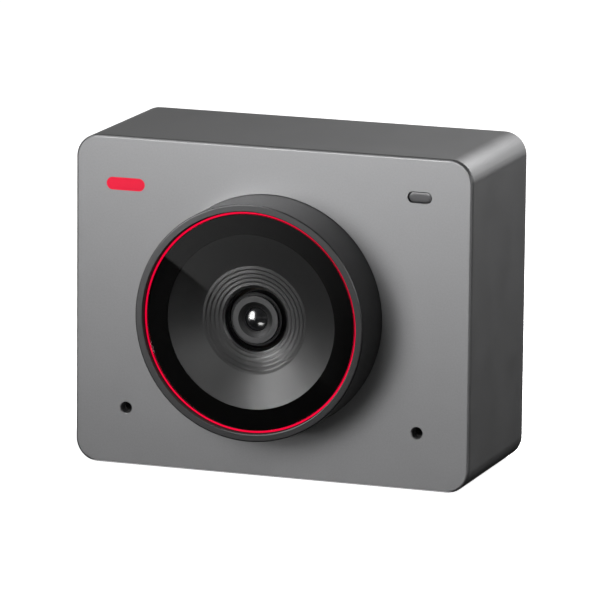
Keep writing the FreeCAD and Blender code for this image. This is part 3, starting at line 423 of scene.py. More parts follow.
def dark_lens(name, pupil, edge):
    """Opaque coated lens whose dark colour is painted shade for the dark inside, with painted reflection
    rings between two radii.
    """
    shader, points, radius, depth = around_lens(name)
    # Painted reflection rings between the pupil and the edge; the dark colour elsewhere is painted shade.
    painted_ring_zone = radius.ramp(pupil - 0.05, pupil + 0.05) * radius.ramp(edge - 0.05, edge + 0.05, 1.0, 0.0)
    turns = radius.waves(2 * MARKS_PITCH) * painted_ring_zone
    smear = shader.noise(points, 0.8, 2.0)
    return shader.surface(base_color=shader.mix(turns, (0.001, 0.001, 0.0012), (0.005, 0.005, 0.0055)),
                          roughness=smear * 0.02 + 0.17, coat_weight=turns * 0.4)


def circuit_board(name, colour):
    """Solder mask over a grid of copper tracks and vias."""
    shader = Shader(name)
    points = shader.place()
    x, y, z = shader.axes(points)
    tracks = shader.add("TexBrick", {"offset": 0.5, "squash": 0.7},
                        {"Vector": shader.add("CombineXYZ", None, {0: x, 1: z, 2: y}), "Scale": 1.6,
                         "Mortar Size": 0.03, "Brick Width": 1.1, "Row Height": 0.35,
                         "Color1": (0, 0, 0, 1), "Color2": (0, 0, 0, 1), "Mortar": (1, 1, 1, 1)})
    vias = shader.noise(points, 1.1, kind="Voronoi").ramp(0.12, 0.16, 1.0, 0.0)
    grain = shader.noise(points, 5.0, 3.0)
    base = shader.shade(tracks, colour, 0.85, 1.7)
    base = shader.mix(vias, base, (0.55, 0.42, 0.2))
    return shader.surface(base_color=base, roughness=grain * 0.1 + 0.3, metallic=vias * 0.8,
                          normal=shader.bump(tracks + vias + grain * 0.1, 0.01))


def winding(name, colour):
    """Fine enamelled wire laid side by side around the lens axis."""
    shader = Shader(name)
    points = shader.place()
    turns = shader.axes(points)[1].waves(0.07)
    tone = shader.noise(points, 1.5)
    base = shader.shade(turns * 0.6 + tone * 0.4, colour, 0.5, 1.1)
    return shader.surface(base_color=base, roughness=tone * 0.1 + 0.28, metallic=0.9,
                          normal=shader.bump(turns, 0.02))


def open_foam(name, colour):
    """Open-cell foam."""
    shader = Shader(name)
    points = shader.place()
    cells = shader.noise(points, 6.0, kind="Voronoi")
    fine = shader.noise(points, 9.0, 3.0)
    base = shader.shade(cells, colour, 0.4, 1.6)
    return shader.surface(base_color=base, roughness=fine * 0.1 + 0.85, normal=shader.bump(cells, 0.06))


def sensor_face(name, colour):
    """Silicon sensor with its bonded edge and a faint painted iridescent sheen."""
    shader = Shader(name)
    points = shader.place(1.0, (LENS[0], 0, LENS[1]))
    x, y, z = shader.axes(points)
    edge = (x.size() - 2.9).high(z.size() - 2.2).ramp(-0.02, 0.02)
    # Painted sheen: fixed colour bands stand for the sensor's iridescence.
    painted_sheen_bands = (x * 2.1 + z * 1.3).waves(2 * pi)
    active = shader.mix(painted_sheen_bands, (0.05, 0.12, 0.10), (0.16, 0.08, 0.15))
    base = shader.mix(edge, active, colour)
    return shader.surface(base_color=base, roughness=edge * 0.3 + 0.12, metallic=0.4)


def gold_flex(name, colour):
    """Polyimide strip with copper lines under it."""
    shader = Shader(name)
    points = shader.place()
    x, y, z = shader.axes(points)
    lines = (x * (2 * pi / 0.45)).math("SINE").ramp(-0.2, 0.2)
    grain = shader.noise(points, 4.0)
    base = shader.shade(lines, colour, 0.75, 1.25)
    return shader.surface(base_color=base, roughness=grain * 0.1 + 0.25, metallic=lines * 0.35,
                          coat_weight=0.4, normal=shader.bump(lines, 0.01))


FINISHES = {}


def finish(slot):
    """The material of one of the record's slots, made on first use."""
    if slot not in FINISHES:
        scene = bpy.context.scene
        make, *values = recipes(scene.webcam_finishes, scene.webcam_sizes)[slot]
        FINISHES[slot] = make(*values)
    return FINISHES[slot]


def recipes(colours, sizes):
    """What makes each slot's material: a function, the material's name and the function's other values."""
    dash = red_print(colours.accent, *DASH)
    return {
        "plate_metal": (satin_metal, "bead_blasted_plate", colours.plate, 0.5, 0.008, dash),
        "sleeve_metal": (satin_metal, "satin_sleeve", colours.sleeve, 0.45),
        # The collar's last value is the radius inside which shade is painted.
        "collar_metal": (turned_metal_painted_shade, "dark_collar", colours.collar, 0.36, 0.0004, 12.09),
        "accent_red": (red_lacquer, "red_lacquer", colours.accent),
        "window_glass": (clear_sheet, "flat_window", 0.08, 4.2),
        "black_print": (moulded, "black_print", (0.0009, 0.0009, 0.0009), 0.5, 2.0, 0.001, 0.1, 0.0, 0.04),
        "baffle_plastic": (stepped_finish, "satin_baffle", colours.baffle, 0.33, sizes),
        "barrel_plastic": (barrel_with_painted_shade, "lens_barrel_black", (0.024, 0.024, 0.025), 0.42, sizes),
        "lens_glass": (dark_lens, "coated_lens", 0.85, 1.3),
        "filter_glass": (moulded, "filter_glass", (0.05, 0.12, 0.13), 0.12, 1.0, 0.0005, 0.2, 0.5),
        "black_steel": (moulded, "black_oxide", (0.02, 0.02, 0.02), 0.45, 4.0, 0.003, 0.3),
        # Painted shade: the spring's bright metal is darkened to near black, as it sits in shadow behind the
        # yoke.
        "spring_steel": (brushed, "darkened_spring", (0.06, 0.05, 0.04), 0.4),
        "magnet_nickel": (brushed, "nickel_plate", (0.6, 0.58, 0.54), 0.25, 1),
        "copper_wire": (winding, "copper_winding", (0.72, 0.33, 0.14)),
        "foam": (open_foam, "dust_foam", (0.02, 0.02, 0.02)),
        "gasket_rubber": (moulded, "soft_gasket", (0.02, 0.02, 0.02), 0.75, 3.0, 0.01, 0.2),
        "frame_plastic": (moulded, "glass_filled_plastic", (0.035, 0.035, 0.037), 0.55, 1.6, 0.01, 0.25),
        "adhesive_film": (moulded, "bonding_film", (0.04, 0.04, 0.04), 0.3, 1.0, 0.004, 0.2, 0.2),
        "board_green": (circuit_board, "solder_mask", (0.01, 0.06, 0.035)),
        "chip_black": (moulded, "chip_epoxy", (0.02, 0.02, 0.022), 0.5, 5.0, 0.004, 0.2),
        "sensor_face": (sensor_face, "sensor_face", (0.06, 0.06, 0.065)),
        "flex_film": (gold_flex, "flex_film", (0.45, 0.18, 0.04)),
        "connector_plastic": (moulded, "connector_cream", (0.5, 0.48, 0.42), 0.5, 3.0, 0.004, 0.1),
        "bracket_metal": (brushed, "bracket_sheet", (0.55, 0.55, 0.56), 0.4),
        "sink_metal": (brushed, "black_anodised_sink", (0.06, 0.06, 0.065), 0.42, 2),
        "tin_steel": (brushed, "tinned_sheet", (0.6, 0.6, 0.6), 0.35, 2),
        "pad_silicone": (moulded, "thermal_pad", (0.35, 0.42, 0.55), 0.7, 2.5, 0.015, 0.15),
        "light_plastic": (moulded, "smoked_light_pipe", (0.075, 0.075, 0.078), 0.3, 2.0, 0.002, 0.1, 0.3),
        "led_lens": (moulded, "light_resin", (0.75, 0.74, 0.66), 0.3, 2.0, 0.002, 0.1),
        "microphone_metal": (brushed, "microphone_can", (0.65, 0.6, 0.45), 0.3, 2),
        "port_steel": (brushed, "port_shell", (0.55, 0.55, 0.55), 0.3, 1),
        "cover_plastic": (moulded, "grained_cover", colours.cover, 0.55, 2.6, 0.012, 0.12),
        "screw_steel": (brushed, "blackened_screw", (0.09, 0.09, 0.09), 0.38),
        "socket_brass": (brushed, "nickel_insert", (0.6, 0.58, 0.55), 0.3, 2),
    }


def red_lacquer(name, colour):
    """Saturated red lacquer with a painted glow: its emission keeps the colour bright in shade, though the
    ring is no lamp.
    """
    shader = Shader(name)
    peel = shader.noise(shader.place(), 1.2, 2.0)
    glow = shader.shade(peel, colour, 0.75, 0.85)
    # Painted glow: the emission keeps the ring bright red in shade, though it is no lamp.
    return shader.surface(base_color=scaled(colour, 0.15), roughness=peel * 0.1 + 0.45,
                          specular_ior_level=0.04, emission_color=glow, emission_strength=1.0,
                          normal=shader.bump(peel, 0.002))


def mesh_of(name, points, faces):
    """Closed mesh with its doubles merged and its faces outward."""
    mesh = bpy.data.meshes.new(name)
    mesh.from_pydata(points, [], faces)
    work = bmesh.new()
    work.from_mesh(mesh)
    bmesh.ops.remove_doubles(work, verts=work.verts, dist=1e-5)
    bmesh.ops.recalc_face_normals(work, faces=work.faces)
    work.to_mesh(mesh)
    work.free()
    return mesh


def bridged(name, sections, closed):
    """Quads between loops of equal length: a closed ring of loops, or a stack with capped ends."""
    count = len(sections[0])
    points = [point for section in sections for point in section]
    faces = []
    for row in range(len(sections) - (0 if closed else 1)):
        here, there = row * count, (row + 1) % len(sections) * count
        for i in range(count):
            j = (i + 1) % count
            faces.append((here + i, here + j, there + j, there + i))
    if not closed:
        faces.append(tuple(range(count))[::-1])
        faces.append(tuple(range(len(points) - count, len(points))))
    return mesh_of(name, points, faces)


def rounded_profile(profile, radii, closed=True, steps=4):
    """Polyline whose corners with a radius become arcs."""
    result, count = [], len(profile)
    for i, here in enumerate(profile):
        radius = radii.get(i, 0.0)
        if radius <= 0 or (not closed and i in (0, count - 1)):
            result.append(tuple(here))
            continue
        before, after = Vector(profile[i - 1]) - Vector(here), Vector(profile[(i + 1) % count]) - Vector(here)
        half = before.angle(after) / 2
        reach = min(radius / tan(half), 0.49 * before.length, 0.49 * after.length)
        radius = reach * tan(half)
        start, end = Vector(here) + before.normalized() * reach, Vector(here) + after.normalized() * reach
        centre = Vector(here) + (before.normalized() + after.normalized()).normalized() * (radius / sin(half))
        first, last = start - centre, end - centre
        sweep = first.angle(last)
        for step in range(steps + 1):
            part = step / steps
            arm = (first * sin((1 - part) * sweep) + last * sin(part * sweep)) / sin(sweep)
            result.append(tuple(centre + arm))
    return result


def turned(name, profile, segments=192, centre=LENS):
    """Mesh turned about an axis along the depth from (radius, depth) points; radius 0 is a pole."""
    x0, z0 = centre
    points, rows, faces = [], [], []
    for radius, y in profile:
        if radius < 1e-6:
            rows.append([len(points)] * segments)
            points.append((x0, y, z0))
        else:
            rows.append(list(range(len(points), len(points) + segments)))
            angles = [2 * pi * i / segments for i in range(segments)]
            points += [(x0 + radius * cos(angle), y, z0 + radius * sin(angle)) for angle in angles]
    open_ends = profile[0][0] < 1e-6 and profile[-1][0] < 1e-6
    pairs = list(zip(rows, rows[1:])) + ([] if open_ends else [(rows[-1], rows[0])])
    for here, there in pairs:
        for i in range(segments):
            j = (i + 1) % segments
            face = []
            for corner in (here[i], here[j], there[j], there[i]):
                if corner not in face:
                    face.append(corner)
            if len(face) > 2:
                faces.append(face)
    return mesh_of(name, points, faces)


def rod(radius, start, end):
    """(radius, depth) points of a plain rod."""
    return [(0, start), (radius, start), (radius, end), (0, end)]


def cap(clear, ball, pole_y, steps):
    """(radius, depth) points of a ball's cap, from its pole outward."""
    return [(radius, pole_y + ball - sqrt(ball ** 2 - radius ** 2))
            for radius in (clear * step / steps for step in range(steps + 1))]


def outline(width, height, radius, y, centre=MIDDLE, steps=14):
    """Loop of a rounded rectangle at depth y."""
    x0, z0 = centre
    loop = []
    for index, (turn_x, turn_z) in enumerate(CORNERS):
        middle_x, middle_z = x0 + turn_x * (width / 2 - radius), z0 + turn_z * (height / 2 - radius)
        for step in range(steps + 1):
            angle = (index + step / steps) * pi / 2
            loop.append((middle_x + radius * cos(angle), y, middle_z + radius * sin(angle)))
    return loop


def shell_of(name, width, height, radius, profile, closed, centre=MIDDLE, steps=14):
    """Rounded-rectangle shell from (inset, depth) points."""
    sections = [outline(width - 2 * inset, height - 2 * inset, max(radius - inset, 0.02), y, centre, steps)
                for inset, y in profile]
    return bridged(name, sections, closed)


def pill_of(name, length, width, profile, centre):
    """Slot-shaped plug with half-round ends from (inset, depth) points."""
    return shell_of(name, length, width, width / 2 - 1e-3, profile, False, centre, 12)


def quarter(radius, start_inset, y, toward, steps=5):
    """(inset, depth) points of a quarter round that starts on a face and ends on a side."""
    return [(start_inset + radius * (1 - sin(a)), y + toward * radius * (1 - cos(a)))
            for a in (pi / 2 * step / steps for step in range(steps + 1))]


def new_object(name, mesh):
    piece = bpy.data.objects.new(name, mesh)
    bpy.context.scene.collection.objects.link(piece)
    return piece


def plain_mesh(piece, name):
    """What the piece's modifiers make, as a mesh of its own."""
    bpy.context.view_layer.update()
    graph = bpy.context.evaluated_depsgraph_get()
    mesh = bpy.data.meshes.new_from_object(piece.evaluated_get(graph), preserve_all_data_layers=True,
                                           depsgraph=graph)
    mesh.name = name
    return mesh


def joined_mesh(name, meshes):
    work = bmesh.new()
    for mesh in meshes:
        work.from_mesh(mesh)
    result = bpy.data.meshes.new(name)
    work.to_mesh(result)
    work.free()
    return result


def carved(mesh, tools, operation="DIFFERENCE"):
    """The mesh with the tools cut out of it, or joined to it."""
    piece, tool = new_object("blank", mesh), new_object("tool", joined_mesh("tool", tools))
    change = piece.modifiers.new("carve", "BOOLEAN")
    change.operation, change.solver, change.object = operation, "EXACT", tool
    result = plain_mesh(piece, mesh.name)
    for thing in (piece, tool):
        bpy.data.objects.remove(thing)
    return result


def finished(name, mesh, slot, nodes, body=HOUSING, extra_slots=(), angle=SMOOTH_ANGLE):
    """Piece in metres with smooth shading, its material, its body and the nodes that it stands for."""
    mesh.name = name
    mesh.materials.clear()
    for each in (slot, *extra_slots):
        mesh.materials.append(finish(each))
    mesh.shade_smooth()
    mesh.set_sharp_from_angle(angle=angle)
    piece = new_object(name, mesh)
    even = piece.modifiers.new("even_normals", "WEIGHTED_NORMAL")
    even.keep_sharp, even.weight, even.thresh = True, 100, 1e-4
    piece.data = plain_mesh(piece, name)
    piece.modifiers.clear()
    piece.data.transform(Matrix.Scale(1 / MM, 4))
    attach(piece, body)
    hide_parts(*nodes)
    return piece


class NodeTree:
    """A Geometry Nodes tree with named inputs, a geometry and a material among them, built node by node."""

    def __init__(self, name, **inputs):
        self.tree = bpy.data.node_groups.new(name, "GeometryNodeTree")
        face = self.tree.interface
        self.ids = {}
        for label, kind in {"Geometry": "Geometry", **inputs, "Material": "Material"}.items():
            self.ids[label] = face.new_socket(label, in_out="INPUT",
                                              socket_type="NodeSocket" + kind).identifier
        face.new_socket("Geometry", in_out="OUTPUT", socket_type="NodeSocketGeometry")
        self.source = self.tree.nodes.new("NodeGroupInput")

    def input(self, label):
        return self.source.outputs[label]

    def add(self, kind, settings=None, sockets=None, output=0):
        node = new_node(self.tree, kind, settings, sockets)
        return node.outputs[output] if output is not None else node

    def math(self, operation, *values):
        return self.add("ShaderNodeMath", {"operation": operation}, dict(enumerate(values)))

    def end(self, geometry):
        """Realised instances with their material, as the tree's result."""
        real = self.add("GeometryNodeRealizeInstances", None, {0: geometry})
        painted = self.add("GeometryNodeSetMaterial", None, {0: real, "Material": self.input("Material")})
        self.add("NodeGroupOutput", None, {0: painted}, None)

    def result(self, name, mesh, slot, **values):
        """The mesh that the tree makes from a starting mesh, a material slot and the values of its inputs."""
        piece = new_object(name, mesh)
        grow = piece.modifiers.new("grow", "NODES")
        grow.node_group = self.tree
        for label, value in {**values, "Material": finish(slot)}.items():
            grow[self.ids[label]] = value
        made = plain_mesh(piece, name)
        bpy.data.objects.remove(piece)
        return made


class WEBCAM_OT_front_plate(bpy.types.Operator):
    """Front plate with its rounded edge, lens hole, microphone holes and light slot."""
    bl_idname, bl_label = "webcam.front_plate", "Front Plate"

    def execute(self, context):
        s = context.scene.webcam_sizes
        edge, rim, inner = s.edge_round * MM, s.plate_rim * MM, s.wall * MM + FIT
        profile = quarter(edge, 0.0, FACE_Y, 1)
        profile += [(0.0, FACE_Y + rim - 0.03), (0.03, FACE_Y + rim), (inner, FACE_Y + rim),
                    (inner, PLATE.high.y)]
        plate = shell_of("plate", PLATE.width, PLATE.height, s.corner_radius * MM, profile, False)
        hole = s.collar_radius * MM + FIT
        through = PLATE.high.y + 1
        tools = [turned("hole", rod(hole, FACE_Y - 1, through), 256)]
        mic, flare = s.mic_radius * MM, 0.1
        for side in (-1, 1):
            tools.append(turned("mic", [(0, FACE_Y - 1), (mic + flare, FACE_Y - 1), (mic + flare, FACE_Y),
                                        (mic, FACE_Y + flare), (mic, through), (0, through)],
                                48, (side * s.mic_x * MM, s.mic_z * MM)))
        slot = [(-0.04, FACE_Y - 1), (-0.04, FACE_Y), (0, FACE_Y + 0.04), (0, through)]
        tools.append(pill_of("slot", *SLOT_SIZE, slot, PIPE.middle))
        finished("front_plate_face", carved(plate, tools), "plate_metal", ["front_plate"])
        return {"FINISHED"}


class WEBCAM_OT_body_sleeve(bpy.types.Operator):
    """Body sleeve with its rounded rear edge and the hole for the tripod socket."""
    bl_idname, bl_label = "webcam.body_sleeve", "Body Sleeve"

    def execute(self, context):
        s = context.scene.webcam_sizes
        front, wall, edge = SLEEVE.low.y, s.wall * MM, s.edge_round * MM
        mouth = wall - 0.6
        profile = [(0.04, front), (0.0, front + 0.04)] + quarter(edge, 0.0, BACK_Y, -1)[::-1]
        profile += [(mouth, BACK_Y), (mouth, BACK_Y - COVER_DEPTH), (wall, BACK_Y - COVER_DEPTH),
                    (wall, front)]
        sleeve = shell_of("sleeve", SLEEVE.width, SLEEVE.height, s.corner_radius * MM, profile, True,
                          steps=18)
        tool = turned("bore", rod(SOCKET_RADIUS + FIT / 2, -1, wall + 0.5), 96, (0, 0))
        tool.transform(Matrix.Rotation(pi / 2, 4, "X"))
        finished("body_sleeve_shell", carved(sleeve, [tool]), "sleeve_metal", ["body_sleeve"])
        return {"FINISHED"}


class WEBCAM_OT_lens_collar(bpy.types.Operator):
    """Lens collar with its rounded rim, seat and rear flange."""
    bl_idname, bl_label = "webcam.lens_collar", "Lens Collar"

    def execute(self, context):
        s = context.scene.webcam_sizes
        outer, chamfer = s.collar_radius * MM, s.rim_chamfer * MM
        seat = outer - s.rim_width * MM
        rim, back = COLLAR.low.y, COLLAR.high.y
        flange = COLLAR.width / 2
        bore = outer - 2.0
        shelf = bore - 0.6
        profile = [(outer, rim), (outer, PLATE.high.y), (flange, PLATE.high.y), (flange, back), (shelf, back),
                   (shelf, BAFFLE.high.y), (bore, BAFFLE.high.y), (bore, MASK.high.y), (seat, MASK.high.y),
                   (seat, rim)]
        profile = rounded_profile(profile, {0: chamfer, 9: chamfer * 0.6}, steps=5)
        finished("lens_collar_body", turned("collar", profile, 288), "collar_metal", ["lens_collar"])
        return {"FINISHED"}


class WEBCAM_OT_window(bpy.types.Operator):
    """Accent ring, cover glass and the printed band behind the glass."""
    bl_idname, bl_label = "webcam.window", "Window"

    def execute(self, context):
        s = context.scene.webcam_sizes
        glass = GLASS.width / 2
        inner = glass + FIT
        outer = inner + s.ring_width * MM
        ring = rounded_profile([(outer, RING.low.y), (outer, RING.high.y), (inner, RING.high.y),
                                (inner, RING.low.y)], {0: 0.03, 3: 0.03}, steps=4)
        # The accent ring's red lacquer glows with painted light.
        finished("accent_ring_lacquered", turned("ring", ring, 288), "accent_red", ["accent_ring"])
        edge = 0.03
        back = GLASS.high.y - 0.02
        pane = [(0, GLASS.low.y), (glass - edge, GLASS.low.y), (glass, GLASS.low.y + edge),
                (glass, back - edge), (glass - edge, back), (0, back)]
        finished("window_pane", turned("pane", pane, 256), "window_glass", ["cover_glass"])
        clear = s.window_radius * MM
        band = [(clear, MASK.low.y), (glass, MASK.low.y), (glass, MASK.high.y), (clear, MASK.high.y)]
        finished("printed_band", turned("band", band, 256), "black_print", ["window_mask"])
        return {"FINISHED"}


class WEBCAM_OT_funnel(bpy.types.Operator):
    """Funnel baffle with its cone and stepped rings."""
    bl_idname, bl_label = "webcam.funnel", "Funnel Baffle"

    def execute(self, context):
        s = context.scene.webcam_sizes
        outer = BAFFLE.width / 2
        front, back = BAFFLE.low.y, BAFFLE.high.y
        steps, pitch, drop = s.steps_radius * MM, s.step_pitch * MM, s.step_drop * MM
        riser, edge, wall = s.riser_width * MM, s.hole_edge * MM, 0.75
        mouth = s.window_radius * MM + 0.11
        depth = 1.06
        foot = front + depth
        profile = [(outer, front), (mouth, front), (steps, foot)]
        round_at = {}
        for index in range(1, s.step_count + 1):
            radius, y = steps - pitch * index, foot + drop * index
            round_at[len(profile)] = 0.025
            profile += [(radius + riser, y - drop), (radius, y)]
        hole = radius - edge / 2
        profile[-1] = (hole + edge, y)
        skirt = outer - wall
        slope = (mouth - steps) / depth
        web_end = front + wall + (mouth - skirt) / slope
        profile += [(hole, y + edge * 0.55), (hole, back), (steps, back), (steps, back - wall / 2),
                    (skirt, web_end), (skirt, back), (outer, back)]
        profile = rounded_profile(profile, round_at, steps=3)
        finished("funnel_baffle_moulding", turned("funnel", profile, 256), "baffle_plastic",
                 ["funnel_baffle"], angle=radians(12))
        return {"FINISHED"}


class WEBCAM_OT_lens(bpy.types.Operator):
    """Lens barrel with its dished front, and the front lens element."""
    bl_idname, bl_label = "webcam.lens", "Lens"

    def execute(self, context):
        s = context.scene.webcam_sizes
        nose, dish, hole = s.nose_radius * MM, s.dish_radius * MM, s.aperture_radius * MM
        front, back, body = BARREL.low.y, BARREL.high.y, BARREL.width / 2
        floor, lip, nose_end = front + 0.27, 0.18, front + 0.32
        rims = [Box(name).width / 2 for name in LENS_ELEMENTS]
        profile = [(nose, front), (nose, nose_end), (body, nose_end), (body, back),
                   (rims[-1] + FIT / 2, back)]
        for index in range(len(rims) - 1, 0, -1):
            start = floor + lip + sum(SEAT_STEPS[:index])
            profile += [(rims[index] + FIT / 2, start), (rims[index - 1] + FIT / 2, start)]
        profile += [(rims[0] + FIT / 2, floor + lip), (hole, floor + lip), (hole, floor),
                    (hole + 0.07, floor - 0.01), (hole + 0.1, floor - 0.07), (hole + 0.2, floor - 0.09),
                    (hole + 0.22, floor - 0.13), (dish - 0.06, front + 0.04), (dish, front)]
        last = len(profile) - 1
        round_at = {0: 0.07, 1: 0.03, 2: 0.05, last: 0.03, last - 1: 0.02, last - 2: 0.02, last - 4: 0.02,
                    last - 6: 0.02}
        profile = rounded_profile(profile, round_at, steps=3)
        finished("lens_barrel_body", turned("barrel", profile, 192), "barrel_plastic", ["lens_barrel"], FOCUS)
        rim, rim_y, pole = rims[0], floor + lip, Box("front_lens_element").low.y
        clear, bulge = rim * 0.79, rim_y - pole
        ball = (clear ** 2 + bulge ** 2) / (2 * bulge)
        hollow_clear, hollow, end_y = 0.86, 1.0, rim_y + 0.5
        cup = cap(hollow_clear, hollow, end_y + sqrt(hollow ** 2 - hollow_clear ** 2) - hollow, 16)
        glass = cap(clear, ball, pole, 24) + [(rim, rim_y), (rim, end_y)] + cup[::-1]
        finished("front_lens_glass", turned("front_lens", glass, 128), "lens_glass", ["front_lens_element"],
                 FOCUS)
        return {"FINISHED"}


class WEBCAM_OT_light_pipe(bpy.types.Operator):
    """Smoked light pipe with a rounded face in the indicator slot."""
    bl_idname, bl_label = "webcam.light_pipe", "Light Pipe"

    def execute(self, context):
        front, shoulder = PIPE.low.y, PLATE.high.y
        profile = [(0.35, front), (0.2, front + 0.01)] + quarter(0.12, 0.0, front + 0.02, 1, 4)[1:]
        profile += [(0.0, shoulder), (-0.5, shoulder), (-0.5, shoulder + 0.6), (0.0, shoulder + 0.6),
                    (0.0, PIPE.high.y)]
        pipe = pill_of("pipe", *PIPE_SIZE, profile, PIPE.middle)
        finished("light_pipe_lens", pipe, "light_plastic", ["light_pipe"])
        return {"FINISHED"}


def row_tree():
    """Row of copies of a solid along the width."""
    tree = NodeTree("row", Count="Int", Pitch="Float")
    count, pitch = tree.input("Count"), tree.input("Pitch")
    reach = tree.math("MULTIPLY", tree.math("SUBTRACT", count, 1.0), tree.math("MULTIPLY", pitch, -0.5))
    start = tree.add("ShaderNodeCombineXYZ", None, {0: reach})
    step = tree.add("ShaderNodeCombineXYZ", None, {0: pitch})
    line = tree.add("GeometryNodeMeshLine", {"mode": "OFFSET"},
                    {"Count": count, "Start Location": start, "Offset": step})
    row = tree.add("GeometryNodeInstanceOnPoints", None, {"Points": line, "Instance": tree.input("Geometry")})
    tree.end(row)
    return tree


class WEBCAM_OT_rear_cover(bpy.types.Operator):
    """Rear cover with its vent slots, port opening and screw holes."""
    bl_idname, bl_label = "webcam.rear_cover", "Rear Cover"

    def execute(self, context):
        s = context.scene.webcam_sizes
        front = BACK_Y - COVER_DEPTH
        edge = 0.12
        profile = [(0.0, front), (0.0, BACK_Y - edge)] + quarter(edge, 0.0, BACK_Y, -1)[::-1][1:]
        cover = shell_of("cover", COVER.width, COVER.height, s.corner_radius * MM - 0.76, profile, False)
        places = screw_places()
        posts = [turned("post", rod(1.5, COVER.low.y, BACK_Y - 0.7), 48, place) for place in places]
        cover = carved(cover, posts, "UNION")
        vent_z, port_gap = 0.63 * SLEEVE.height, 0.3
        width_mm, length, flare = s.vent_width * MM, s.vent_length * MM, 0.12
        slot = shell_of("slot", width_mm, length, width_mm / 2 - 1e-3,
                        [(0, front - 1), (0, BACK_Y - flare), (-flare, BACK_Y), (-flare, BACK_Y + 1)],
                        False, (0.0, vent_z), 10)
        tools = [row_tree().result("vents", slot, "cover_plastic", Count=s.vent_count,
                                   Pitch=s.vent_pitch * MM)]
        port_width, port_height = SHELL.width + port_gap, SHELL.height + port_gap
        tools.append(shell_of("port", port_width, port_height, port_height / 2 - 1e-3,
                              [(0, front - 1), (0, BACK_Y - 0.15), (-0.15, BACK_Y), (-0.15, BACK_Y + 1)],
                              False, (0.0, SHELL.middle[1]), 14))
        drill = [(0, COVER.low.y - 1), (0.85, COVER.low.y - 1), (0.85, BACK_Y - 1), (1.4, BACK_Y - 1),
                 (1.4, BACK_Y - 0.1), (1.5, BACK_Y), (1.5, BACK_Y + 1), (0, BACK_Y + 1)]
        tools += [turned("drill", drill, 48, place) for place in places]
        finished("rear_cover_moulding", carved(cover, tools), "cover_plastic", ["rear_cover"])
        return {"FINISHED"}


def screw_places():
    """Middles of the four long screws."""
    x = SCREWS.high.x - SCREW_HEAD
    low, high = SCREWS.low.z + SCREW_HEAD, SCREWS.high.z - SCREW_HEAD
    return [(side * x, z) for side in (-1, 1) for z in (low, high)]


def point_copies_tree():
    """Copies of a solid on the points of another mesh."""
    tree = NodeTree("point_copies", Solid="Object")
    solid = tree.add("GeometryNodeObjectInfo", None, {"Object": tree.input("Solid")}, None)
    copies = tree.add("GeometryNodeInstanceOnPoints", None,
                      {"Points": tree.input("Geometry"), "Instance": solid.outputs["Geometry"]})
    tree.end(copies)
    return tree


class WEBCAM_OT_cover_screws(bpy.types.Operator):
    """Four long screws with rounded heads and cross recesses."""
    bl_idname, bl_label = "webcam.cover_screws", "Cover Screws"

    def execute(self, context):
        tip, top = SCREWS.low.y, SCREWS.high.y
        seat = top - 0.8
        profile = [(0, tip), (0.55, tip), (0.8, tip + 0.3), (0.8, seat), (SCREW_HEAD, seat),
                   (SCREW_HEAD, top - 0.25), (1.25, top - 0.12), (1.05, top - 0.03), (0.8, top), (0, top)]
        screw = turned("screw", profile, 40, (0, 0))
        for width, length in ((0.34, 1.62), (1.62, 0.34)):
            arm = [[(width / 2 * grow * i, y, length / 2 * grow * j) for i, j in CORNERS]
                   for y, grow in ((top - 0.45, 0.75), (top + 0.2, 1.08))]
            screw = carved(screw, [bridged("arm", arm, False)])
        solid = new_object("screw_solid", screw)
        spots = bpy.data.meshes.new("spots")
        spots.from_pydata([(x, 0, z) for x, z in screw_places()], [], [])
        tree = point_copies_tree()
        made = tree.result("screws", spots, "screw_steel", Solid=solid)
        bpy.data.objects.remove(solid)
        finished("cover_screws_set", made, "screw_steel", ["cover_screws"])
        return {"FINISHED"}


def thread_tree():
    """Helical ridge: a triangular section swept along a spiral."""
    tree = NodeTree("thread", Turns="Float", Radius="Float", Height="Float", Section="Float")
    radius = tree.input("Radius")
    spiral = tree.add("GeometryNodeCurveSpiral", None,
                      {"Resolution": 64, "Rotations": tree.input("Turns"), "Start Radius": radius,
                       "End Radius": radius, "Height": tree.input("Height")})
    section = tree.add("GeometryNodeCurvePrimitiveCircle", None,
                       {"Resolution": 3, "Radius": tree.input("Section")})
    ridge = tree.add("GeometryNodeCurveToMesh", None,
                     {"Curve": spiral, "Profile Curve": section, "Fill Caps": True})
    tree.end(ridge)
    return tree


class WEBCAM_OT_tripod_socket(bpy.types.Operator):
    """Threaded insert in the bottom."""
    bl_idname, bl_label = "webcam.tripod_socket", "Tripod Socket"

    def execute(self, context):
        s = context.scene.webcam_sizes
        top, depth, bore = SOCKET.high.z, 5.5, 3.0
        neck, flange = SOCKET_RADIUS, 5.5
        profile = [(bore + 0.35, 0.0), (neck, 0.0), (neck, 1.3), (flange, 1.3), (flange, 2.3), (neck, 2.3),
                   (neck, top), (0, top)]
        inside = [(0, depth), (bore, depth), (bore, 0.35)]
        insert = turned("insert", inside + rounded_profile(profile, {1: 0.1}, False, 3), 96, (0, 0))
        insert.transform(Matrix.Rotation(pi / 2, 4, "X"))
        pitch = s.thread_pitch * MM
        turns = (depth - 0.9) / pitch
        seed = bpy.data.meshes.new("seed")
        tree = thread_tree()
        ridge = tree.result("ridge", seed, "socket_brass", Turns=turns, Radius=bore - 0.02,
                            Height=pitch * turns, Section=0.42)
        ridge.transform(Matrix.Translation((0, 0, 0.6)))
        finished("tripod_socket_insert", joined_mesh("socket", [insert, ridge]), "socket_brass",
                 ["tripod_socket"])
        return {"FINISHED"}


